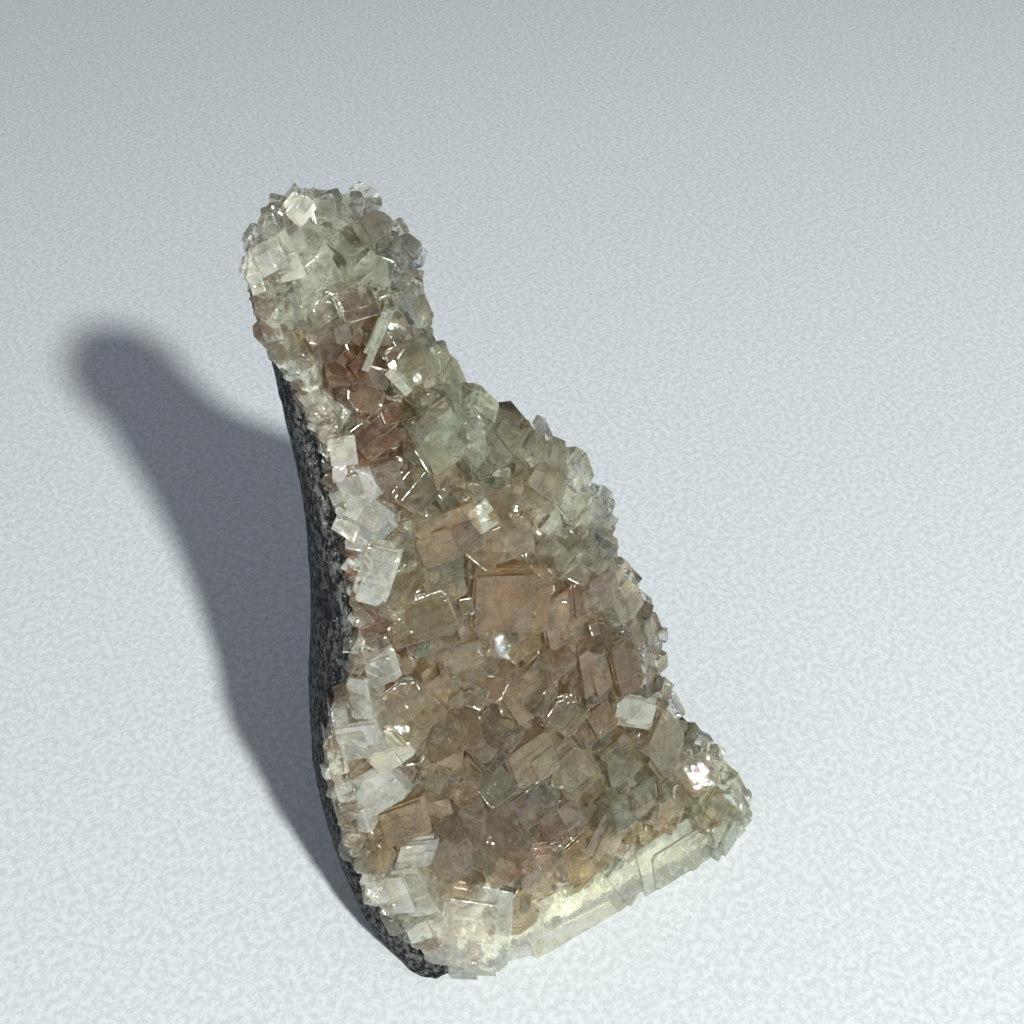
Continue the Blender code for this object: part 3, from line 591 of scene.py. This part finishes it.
# The small crystals between them: the smallest and largest half width, and the places tried
SMALL_SIZES = [(1.7, 2.7, 1000), (1.0, 1.6, 1800), (0.6, 0.95, 2400)]
SMALL_LOWEST = 0.8
SMALL_ACROSS = (-34, 35)
SMALL_INSIDE = 0.9       # their distance from the crust's edge, in half widths
CLOSENESS = 0.56         # the least distance between two, as a share of their half widths' sum
SMALLER_FROM = 70        # from here up they get smaller,
SMALLER_OVER = 25        # over this height,
SMALLER_BY = 0.3         # by this share
UPPER_RIGHT = (2, 60)    # x and height where the upper right rim begins
RIM_SHARE = 0.8          # of their size on it
FAN_RIGHT = 30           # degrees by which they lean outwards at the crust's edges
FAN_UP = 24              # and upwards near the top
FAN_UP_FROM = 98
FAN_UP_OVER = 20
# Their length against their width, how far they stand out, and their lean right and up, in degrees
SMALL_RANGES = ((0.7, 1.5), (-1.7, 0.5), (-36, 36), (-28, 42))
SMALL_CUTS = (0.08, 0.2, 0.4, 0.7)
# The row along the left edge
RIM_STEP = 0.55
RIM_HEIGHTS = (3, 114)
RIM_FARTHEST = -32.4     # their places stop here, so that the crust gets no wider
RIM_SHIFT = (-0.5, 1.4)
RIM_HALF = (0.45, 1.15)
RIM_RANGES = ((0.8, 1.7), (-1.3, 0.4), (-60, -8), (-20, 40))
RIM_TONES = ("milk", "water", "clear", "milk", "smoke", "rust")
# The row along the top, which leans back over the rock and fans out to both sides
CREST_STEP = 0.5
CREST_ACROSS = (-26, -8)
CREST_HEIGHT = 116.4
CREST_FLAT = (-23.5, -16.5)    # between these it is level, and it falls off on either side
CREST_FALL = 1.2         # on the left
CREST_MIDDLE = -17
CREST_FAN = 3.6          # degrees for each millimetre from its middle
CREST_HALF = (0.6, 1.3)
CREST_RANGES = ((0.7, 1.3), (-3.4, -0.6), (-16, 16), (25, 65))
CREST_TONES = ("water", "smoke", "green", "clear", "water")
ROW_CUTS = (0.1, 0.4, 0.7)
# The small crystals' tones by where they grow, and the limits of these zones
ZONE_TONES = {
    "foot": ("milk", "cream", "pale", "water"),
    "left edge": ("milk", "water", "pale", "smoke"),
    "head": ("water", "clear", "water", "green", "smoke"),
    "rust band": ("rust", "smoke", "smoke", "peach", "water"),
    "right rim": ("clear", "water", "water", "smoke"),
    "inside": ("olive", "smoke", "peach", "green", "olive"),
}
FOOT_TOP = 6
FOOT_CORNER = (-12, 16)  # x and height up to which the foot also goes at the left
LEFT_WIDTH = 3.5
HEAD_FROM = 104
RUST_CORNER = (-13, 80)  # x and height of the rust band's lower right corner
RIGHT_WIDTH = 5
# Faces and their edges
MOST_EDGES = 8           # of a crystal's face
EDGE_FAR = 9.0           # stands for an edge that a face doesn't have
ROUNDED_WIDTH = 0.2      # of a face's edges, and how deep they go
ROUNDED_DEPTH = 0.035


def crystal_axes(lean_right, lean_up, turn):
    """Each crystal's two side directions and its axis. The axis is the face's outward normal leaned
    right and up, and the sides start level and upright and are turned about it."""
    right, up = np.radians(lean_right), np.radians(lean_up) + FACE_LEAN
    turn = np.radians(turn)[:, None]
    axis = np.stack([np.sin(right) * np.cos(up), -np.cos(right) * np.cos(up), np.sin(up)], -1)
    upright = np.array([0.0, 0.0, 1.0]) - axis[:, 2:] * axis
    upright /= np.linalg.norm(upright, axis=1, keepdims=True)
    level = np.cross(upright, axis)
    side = level * np.cos(turn) + upright * np.sin(turn)
    return np.stack([side, np.cross(axis, side), axis], 1)


def crystal_points(tip, axes, half, cut, skew, root):
    """A square profile carried along each crystal's axis, from its root to its shoulder. From there
    four pyramid faces, which drop by SLOPE * (|x| + |y|), cut the corners of the flat end. The cut is
    the share of the shorter side's half that they take. Etching and crowding leave no form quite
    square, so the sides slant, the end tilts and the corners open or close by the skew's shares."""
    sign_x, sign_y = np.array([-1, -1, 1, 1]), np.array([-1, 1, 1, -1])
    wide, tall = half[:, :1], half[:, 1:]
    taken = (cut * half.min(1))[:, None]
    local = np.zeros((len(tip), 16, 3))
    local[:, 0:8, 0] = np.tile(sign_x * wide, 2)
    local[:, 0:8, 1] = np.tile(sign_y * tall, 2)
    local[:, 0:4, 2] = -root[:, None]
    local[:, 4:8, 2] = -SLOPE * taken
    local[:, 8:12, 0], local[:, 8:12, 1] = sign_x * wide, sign_y * (tall - taken)
    local[:, 12:16, 0], local[:, 12:16, 1] = sign_x * (wide - taken), sign_y * tall
    x, y, z = np.moveaxis(local, 2, 0)
    a, b, c, d, e = skew.T[:, :, None]
    local = np.stack([x + a * z + e * y, y + b * z, z + c * x + d * y], -1)
    return tip[:, None] + np.einsum("nvk,nkj->nvj", local, axes)


# Corners 0 to 3 are at the root, 4 to 7 at the shoulder, and 8 to 15 around the flat end.
CRYSTAL_FACES = [
    (0, 1, 2, 3), (1, 0, 4, 8, 9, 5), (2, 1, 5, 13, 14, 6), (3, 2, 6, 10, 11, 7),
    (0, 3, 7, 15, 12, 4), (4, 12, 8), (5, 9, 13), (6, 14, 10), (7, 11, 15),
    (8, 12, 15, 11, 10, 14, 13, 9),
]


def edge_distances(points):
    """For each corner of each face, how far it is from each of the face's edges. The distance from a
    straight edge changes evenly over a flat face, so that the shader can read it at any point."""
    rows = []
    for face in CRYSTAL_FACES:
        corners = points[:, face]
        along = np.roll(corners, -1, 1) - corners
        reach = corners[:, :, None] - corners[:, None, :]
        far = np.linalg.norm(np.cross(along[:, None], reach), axis=-1)
        far = far / np.maximum(np.linalg.norm(along, axis=-1), 1e-6)[:, None]
        filled = np.full((len(points), len(face), MOST_EDGES), EDGE_FAR)
        filled[:, :, :len(face)] = far
        rows.append(filled)
    return np.concatenate(rows, 1)


def tone_colours(tones, rng):
    """Each crystal's own colour: its tone's, a little lighter or darker, warmer or cooler."""
    colours = np.array([TONES[tone][0] for tone in tones])
    colours = colours * rng.uniform(1 - TONE_SPREAD, 1 + TONE_SPREAD, (len(tones), 1))
    warmth = rng.uniform(-WARMTH_SPREAD, WARMTH_SPREAD, (len(tones), 1))
    colours = colours + warmth * np.array([1, 0, -1])
    return np.clip(colours, 0.05, 0.97)


def crystal_mesh(name, rows, rng):
    """Puts crystals, given as rows of a table, into one mesh with their tones and edges. Towards
    the crust's edges their roots get shorter."""
    values = np.array([row[:9] for row in rows], float)
    x, height, proud = values[:, 0], values[:, 1], values[:, 4]
    tip = np.stack([x, outline_at(FACE_DEPTH, height) - proud, height], -1)
    axes = crystal_axes(values[:, 5], values[:, 6], values[:, 7])
    skew = np.array([row[10] for row in rows])
    inside = np.minimum(x - outline_at(CRUST_LEFT, height), outline_at(CRUST_RIGHT, height) - x)
    inside = np.minimum(inside, CRUST_HEIGHT + 1 - height)
    root = np.clip(ROOT_AT_EDGE + ROOT_SLOPE * inside, ROOT_AT_EDGE, ROOT)
    points = crystal_points(tip, axes, values[:, 2:4], values[:, 8], skew, root)
    faces = [tuple(16 * i + v for v in face) for i in range(len(rows)) for face in CRYSTAL_FACES]
    piece = add_mesh(name, points, faces, smooth=False)
    edges = edge_distances(points)
    corners = edges.shape[1]
    tone = np.ones((len(rows), corners, 4))
    tone[..., :3] = tone_colours([row[9] for row in rows], rng)[:, None]
    for label, data in (("tone", tone), ("edges_a", edges[..., :4]), ("edges_b", edges[..., 4:])):
        layer = piece.data.attributes.new(label, "FLOAT_COLOR", "CORNER")
        layer.data.foreach_set("color", data.astype(np.float32).ravel())
    return piece


def joined(piece, other, operation, self_overlaps=False):
    """One closed mesh from two, by an exact Boolean."""
    cut = piece.modifiers.new("join", "BOOLEAN")
    cut.operation = operation
    cut.object = other
    cut.use_self = self_overlaps
    graph = bpy.context.evaluated_depsgraph_get()
    mesh = bpy.data.meshes.new_from_object(piece.evaluated_get(graph))
    piece.modifiers.clear()
    piece.data = mesh
    bpy.data.objects.remove(other)


def grown_steps(rng):
    """The large crystals with their growth steps: narrower plates that stand a little proud of the
    end near a corner, within a few degrees of the crystal, and a broader one that ends lower."""
    rows = []
    for row in LARGE_CRYSTALS:
        x, height, wide, tall, proud, right, up, turn, cut, tone = row
        skew = tuple(rng.uniform(SKEW_LOW, SKEW_HIGH))
        rows.append((*row, skew))
        for _ in range(2 if min(wide, tall) > TWO_PLATES_FROM else 1):
            narrow = rng.uniform(*PLATE_WIDTH, 2)
            shift = rng.choice((-1, 1), 2) * rng.uniform(*PLATE_SHIFT, 2) * (1 - narrow)
            rows.append((x + shift[0] * wide, height + 0.9 * shift[1] * tall, wide * narrow[0],
                         tall * narrow[1], proud + rng.uniform(*PLATE_RISE),
                         right + rng.uniform(-3, 3), up + rng.uniform(-4, 2), turn + rng.uniform(-4, 4),
                         rng.uniform(*PLATE_CUT), tone, skew))
        broad = rng.permutation([rng.uniform(*LOWER_WIDER), rng.uniform(*LOWER_NARROWER)])
        rows.append((x, height, wide * broad[0], tall * broad[1], proud - rng.uniform(*LOWER_DROP),
                     right, up, turn, cut, tone, skew))
    rows.append((*MIRROR_CRYSTAL, (0, 0, 0, 0, 0)))
    return rows


def zone_tone(x, height, rng):
    """A small crystal's tone, by where it grows: white along the left edge and the foot, clear on the
    right rim and the head, and smoky or olive inside."""
    from_left = x - outline_at(CRUST_LEFT, height)
    from_right = outline_at(CRUST_RIGHT, height) - x
    if height < FOOT_TOP or (x < FOOT_CORNER[0] and height < FOOT_CORNER[1]):
        zone = "foot"
    elif from_left < LEFT_WIDTH:
        zone = "left edge"
    elif height > HEAD_FROM:
        zone = "head"
    elif x < RUST_CORNER[0] and height > RUST_CORNER[1]:
        zone = "rust band"
    elif from_right < RIGHT_WIDTH or (x > UPPER_RIGHT[0] and height > UPPER_RIGHT[1]):
        zone = "right rim"
    else:
        zone = "inside"
    tones = ZONE_TONES[zone]
    return tones[rng.integers(len(tones))]


def row_crystal(x, height, half, lean, ranges, tones, rng):
    """A small crystal of the row along the left edge or along the top, by that row's ranges."""
    length, proud, right, up = ranges
    return (x, height, half, half * rng.uniform(*length), rng.uniform(*proud),
            lean + rng.uniform(*right), rng.uniform(*up), rng.uniform(0, 90), rng.choice(ROW_CUTS),
            tones[rng.integers(len(tones))], tuple(rng.uniform(SKEW_LOW, SKEW_HIGH)))


def small_crystals(rng):
    """Crystals between the large ones, at random places that aren't too near another. They fan out
    towards the crust's rim, and are small on the head and the upper right rim. A row of still
    smaller ones follows the left edge, and another the top, where they lean back over the rock."""
    taken = np.array([row[:4] for row in LARGE_CRYSTALS])
    length, proud, right_spread, up_spread = SMALL_RANGES
    rows = []
    for smallest, largest, tries in SMALL_SIZES:
        for _ in range(tries):
            height, x = rng.uniform(SMALL_LOWEST, CRUST_HEIGHT), rng.uniform(*SMALL_ACROSS)
            share = 1.0 - SMALLER_BY * np.clip((height - SMALLER_FROM) / SMALLER_OVER, 0, 1)
            half = rng.uniform(smallest, largest) * share
            if x > UPPER_RIGHT[0] and height > UPPER_RIGHT[1]:
                half = half * RIM_SHARE
            left, right = outline_at(CRUST_LEFT, height), outline_at(CRUST_RIGHT, height)
            if min(x - left, right - x, CRUST_HEIGHT - height) < SMALL_INSIDE * half:
                continue
            apart = np.hypot((x - taken[:, 0]) / (half + taken[:, 2]),
                             (height - taken[:, 1]) / (half + taken[:, 3]))
            if apart.min() < CLOSENESS:
                continue
            taken = np.vstack([taken, (x, height, half, half)])
            side = (2 * x - left - right) / (right - left)
            lean_right = FAN_RIGHT * side * abs(side) + rng.uniform(*right_spread)
            lean_up = FAN_UP * max(0.0, (height - FAN_UP_FROM) / FAN_UP_OVER) + rng.uniform(*up_spread)
            rows.append((x, height, half, half * rng.uniform(*length), rng.uniform(*proud),
                         lean_right, lean_up, rng.uniform(0, 90), rng.choice(SMALL_CUTS),
                         zone_tone(x, height, rng), tuple(rng.uniform(SKEW_LOW, SKEW_HIGH))))
    for height in np.arange(*RIM_HEIGHTS, RIM_STEP):
        half = rng.uniform(*RIM_HALF)
        edge = max(outline_at(CRUST_LEFT, height) + rng.uniform(*RIM_SHIFT), RIM_FARTHEST)
        rows.append(row_crystal(edge, height, half, 0, RIM_RANGES, RIM_TONES, rng))
    for x in np.arange(*CREST_ACROSS, CREST_STEP):
        top = CREST_HEIGHT - CREST_FALL * max(0.0, CREST_FLAT[0] - x) - max(0.0, x - CREST_FLAT[1])
        half = rng.uniform(*CREST_HALF)
        lean = CREST_FAN * (x - CREST_MIDDLE)
        rows.append(row_crystal(x, top, half, lean, CREST_RANGES, CREST_TONES, rng))
    return rows


def scaled(tree, value, factor):
    """A value times another."""
    return new_node(tree, "ShaderNodeMath", {"operation": "MULTIPLY"}, s0=value,
                    s1=factor).outputs[0]


def facets(tree, place, scale):
    """Heights in millimetres of a mosaic of flat cells, each with its own tilt of up to one in one.
    The cells run through the crystals from front to back, so that their sides are striped."""
    parts = new_node(tree, "ShaderNodeSeparateXYZ", Vector=place)
    flat = new_node(tree, "ShaderNodeCombineXYZ", X=parts.outputs["X"], Y=parts.outputs["Z"])
    cells = new_node(tree, "ShaderNodeTexVoronoi", {"voronoi_dimensions": "2D"},
                     Vector=flat.outputs["Vector"], Scale=scale)
    reach = new_node(tree, "ShaderNodeVectorMath", {"operation": "SUBTRACT"},
                     s0=flat.outputs["Vector"], s1=cells.outputs["Position"])
    tilt = new_node(tree, "ShaderNodeVectorMath", {"operation": "SUBTRACT"},
                    s0=cells.outputs["Color"], s1=(0.5, 0.5, 0.5))
    rise = new_node(tree, "ShaderNodeVectorMath", {"operation": "DOT_PRODUCT"},
                    s0=reach.outputs["Vector"], s1=tilt.outputs["Vector"])
    return scaled(tree, rise.outputs["Value"], 2 / MM)


def new_group(name, inputs, outputs):
    """A node group with these sockets, and its nodes for what is given and for the result."""
    tree = bpy.data.node_groups.new(name, "ShaderNodeTree")
    for way, sockets in (("INPUT", inputs), ("OUTPUT", outputs)):
        for socket, kind in sockets.items():
            tree.interface.new_socket(socket, in_out=way, socket_type="NodeSocket" + kind)
    return tree, tree.nodes.new("NodeGroupInput"), tree.nodes.new("NodeGroupOutput")


def relief_group():
    """Crystal faces: a mosaic of tilted growth facets, pits, and edges rounded over a little."""
    tree, given, result = new_group("crystal_relief", {"Waves": "Float", "Pits": "Float"},
                                    {"Height": "Float", "Edge": "Float"})
    nearest = None
    for name in ("edges_a", "edges_b"):
        layer = new_node(tree, "ShaderNodeAttribute", {"attribute_name": name})
        parts = new_node(tree, "ShaderNodeSeparateColor", Color=layer.outputs["Color"])
        for far in (*parts.outputs, layer.outputs["Alpha"]):
            if nearest is None:
                nearest = far
            else:
                nearest = new_node(tree, "ShaderNodeMath", {"operation": "MINIMUM"},
                                   s0=nearest, s1=far).outputs[0]
    place = new_node(tree, "ShaderNodeTexCoord").outputs["Object"]
    where = between(tree, noise(tree, place, 170, detail=0), 0.48, 0.60)
    height = scaled(tree, between(tree, nearest, 0.0, ROUNDED_WIDTH), ROUNDED_DEPTH)
    for texture, depth in (
        (facets(tree, place, 330), given.outputs["Waves"]),
        (facets(tree, place, 1000), scaled(tree, given.outputs["Waves"], 0.8)),
        (scaled(tree, noise(tree, place, 2800, detail=0), where), given.outputs["Pits"]),
    ):
        height = new_node(tree, "ShaderNodeMath", {"operation": "ADD"}, s0=height,
                          s1=scaled(tree, texture, depth)).outputs[0]
    tree.links.new(height, result.inputs["Height"])
    # The Edge mask is high near each face's edges. It also sets where the painted edge highlight goes.
    tree.links.new(between(tree, nearest, 0.05, 0.25, 1.0, 0.0), result.inputs["Edge"])
    return tree


def veil_and_highlight_group():
    """The crystal's own tone with whitish veils and rusty clouds in it, and a painted highlight: paler
    colour along the faces' edges.
    """
    tree, given, result = new_group(
        "crystal_veils_and_edge_highlights", {"Tone": "Color", "Veils": "Float", "Rust": "Float", "Edge": "Float"},
        {"Color": "Color"})
    place = new_node(tree, "ShaderNodeTexCoord").outputs["Object"]
    wisps = noise(tree, place, 360, detail=4, roughness=0.65, distortion=1.8)
    clouds = noise(tree, place, 200, detail=3, roughness=0.6)
    shade = noise(tree, place, 520, detail=3, roughness=0.65)
    rust = scaled(tree, between(tree, clouds, 0.55, 0.70), given.outputs["Rust"])
    veils = scaled(tree, between(tree, wisps, 0.50, 0.64), given.outputs["Veils"])
    # Painted highlight: its amount near a face's edges, broken up by the mottling noise.
    edge = scaled(tree, given.outputs["Edge"], between(tree, shade, 0.42, 0.62, 0.0, 0.4))
    colour = blended(tree, rust, given.outputs["Tone"], (0.50, 0.24, 0.13, 1))
    colour = blended(tree, between(tree, shade, 0.44, 0.66, 0.0, 0.45), colour,
                     (0.48, 0.44, 0.38, 1), "MULTIPLY")
    colour = blended(tree, veils, colour, (0.90, 0.89, 0.84, 1))
    # The painted edge highlight: a pale colour laid over the tone near each face's edges.
    colour = blended(tree, edge, colour, (0.90, 0.89, 0.86, 1))
    tree.links.new(colour, result.inputs["Color"])
    return tree


def crystal_material(name, relief, veils, transmission, roughness, tint, density, lamp_through, waves,
                     pits, milk, rust):
    """Apophyllite: a clear, slightly cloudy crystal that takes some light away with depth. Lamps
    shine through it, so that what lies in and behind it is lit."""
    made, tree, shader = new_material(name)
    shader.inputs["IOR"].default_value = INDEX
    shader.inputs["Transmission Weight"].default_value = transmission
    tone = new_node(tree, "ShaderNodeAttribute", {"attribute_name": "tone"}).outputs["Color"]
    surface = new_node(tree, "ShaderNodeGroup", {"node_tree": relief}, Waves=waves, Pits=pits)
    # The colour group adds a painted highlight along the faces' edges.
    colour = new_node(tree, "ShaderNodeGroup", {"node_tree": veils}, Tone=tone, Veils=milk,
                      Rust=rust, Edge=surface.outputs["Edge"])
    tree.links.new(colour.outputs["Color"], shader.inputs["Base Color"])
    tree.links.new(between(tree, surface.outputs["Edge"], 0, 1, roughness, roughness + 0.2),
                   shader.inputs["Roughness"])
    add_relief(tree, shader, surface.outputs["Height"], strength=1.0, distance=MM)
    lamp = new_node(tree, "ShaderNodeLightPath").outputs["Is Shadow Ray"]
    through = new_node(tree, "ShaderNodeBsdfTransparent", Color=(*lamp_through, 1))
    mixed = new_node(tree, "ShaderNodeMixShader", s0=lamp, s1=shader.outputs["BSDF"],
                     s2=through.outputs["BSDF"])
    depth = new_node(tree, "ShaderNodeVolumeAbsorption", Color=(*tint, 1), Density=density)
    output = tree.nodes["Material Output"]
    tree.links.new(mixed.outputs["Shader"], output.inputs["Surface"])
    tree.links.new(depth.outputs["Volume"], output.inputs["Volume"])
    return made


def floor_block():
    """A block below the base, which cuts the crystals' foot flat."""
    across, up = np.meshgrid([-60, 60], [-60, 60], indexing="ij")
    low = np.stack([across.ravel(), up.ravel(), np.full(4, -40)], -1)
    points = np.vstack([low, low * (1, 1, 0)])
    faces = [(0, 1, 3, 2), (4, 6, 7, 5), (0, 4, 5, 1), (2, 3, 7, 6), (0, 2, 6, 4), (1, 5, 7, 3)]
    return add_mesh("floor_block", points, faces, smooth=False)


def make_crystals():
    """Each kind's crystals go by turns into two meshes, which are joined with themselves and with
    each other, and cut flat at the base."""
    rng = np.random.default_rng(SEED)
    rows = grown_steps(rng) + small_crystals(rng)
    relief, veils = relief_group(), veil_and_highlight_group()
    finishes = {
        "clear": crystal_material("clear_crystal", relief, veils, transmission=0.93, roughness=0.03,
                                  tint=(0.84, 0.86, 0.78), density=30, lamp_through=(0.80, 0.80, 0.77),
                                  waves=0.10, pits=0.06, milk=0.6, rust=0.15),
        "milky": crystal_material("milky_crystal", relief, veils, transmission=0.70, roughness=0.07,
                                  tint=(0.92, 0.89, 0.80), density=20, lamp_through=(0.68, 0.66, 0.60),
                                  waves=0.14, pits=0.10, milk=0.9, rust=0.1),
        "smoky": crystal_material("smoky_crystal", relief, veils, transmission=0.87, roughness=0.04,
                                  tint=(0.76, 0.68, 0.54), density=60, lamp_through=(0.66, 0.60, 0.53),
                                  waves=0.10, pits=0.06, milk=0.35, rust=0.4),
    }
    pieces = []
    for kind, finish in finishes.items():
        own = [row for row in rows if TONES[row[9]][1] == kind]
        piece = crystal_mesh(kind + "_crystals", own[0::2], rng)
        joined(piece, crystal_mesh("other_half", own[1::2], rng), "UNION", self_overlaps=True)
        joined(piece, floor_block(), "DIFFERENCE")
        piece.data.materials.clear()
        piece.data.materials.append(finish)
        pieces.append(piece)
    return pieces


crystals = make_crystals()
for piece in crystals:
    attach(piece, "root")
    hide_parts("apophyllite_crust")


# The floor and the light
# A plain pale table top with a faint grain, a small soft lamp high in front of the piece, and a
# bright, faintly blue room.
KEY_ELEVATION = math.radians(42)
KEY_DISTANCE = 0.9
KEY_AIM = (0, 0, 0.05)
KEY_SIZE = 0.05
KEY_POWER = 9.6
KEY_COLOUR = (0.93, 0.98, 0.92)
ROOM_LIGHT = (0.40, 0.43, 0.47)
ROOM_DARK = (0.045, 0.05, 0.06)
FLOOR_COLOUR = (0.645, 0.66, 0.69)
FLOOR_GRAIN = 0.10       # how much lighter and darker its grain is
FLOOR_HALF = 1500


def make_floor():
    corners = np.array([(-1, -1, 0), (1, -1, 0), (1, 1, 0), (-1, 1, 0)]) * FLOOR_HALF
    floor = add_mesh("floor", corners, [(0, 1, 2, 3)], smooth=False)
    made, tree, shader = new_material("pale_table")
    grain = noise(tree, stretched(tree, (1, 1, 1)), 900, detail=3, roughness=0.7)
    darker, lighter = (np.array(FLOOR_COLOUR) * (1 + step) for step in (-FLOOR_GRAIN, FLOOR_GRAIN))
    colour = blended(tree, between(tree, grain, 0.35, 0.65), (*darker, 1), (*lighter, 1))
    tree.links.new(colour, shader.inputs["Base Color"])
    shader.inputs["Roughness"].default_value = 0.9
    floor.data.materials.append(made)


def make_light():
    key_data = bpy.data.lights.new("key", "AREA")
    key_data.shape = "DISK"
    key_data.size = KEY_SIZE
    key_data.energy = KEY_POWER
    key_data.color = KEY_COLOUR
    key = bpy.data.objects.new("key", key_data)
    away = Vector((0, -math.cos(KEY_ELEVATION), math.sin(KEY_ELEVATION)))
    key.location = away * KEY_DISTANCE + Vector(KEY_AIM)
    key.rotation_euler = (-away).to_track_quat("-Z", "Y").to_euler()
    bpy.context.scene.collection.objects.link(key)
    world = bpy.data.worlds.new("room")
    world.use_nodes = True
    tree = world.node_tree
    direction = new_node(tree, "ShaderNodeTexCoord").outputs["Generated"]
    parts = new_node(tree, "ShaderNodeSeparateXYZ", Vector=direction)
    upward = between(tree, parts.outputs["Z"], -0.2, 0.9)
    sideways = between(tree, parts.outputs["X"], -0.9, 0.6, 1.0, 0.35)
    glow = scaled(tree, upward, sideways)
    colour = blended(tree, glow, (*ROOM_DARK, 1), (*ROOM_LIGHT, 1))
    tree.links.new(colour, tree.nodes["Background"].inputs["Color"])
    bpy.context.scene.world = world


make_floor()
make_light()
bpy.context.scene.view_settings.view_transform = "Standard"
bpy.context.scene.view_settings.look = "Medium High Contrast"
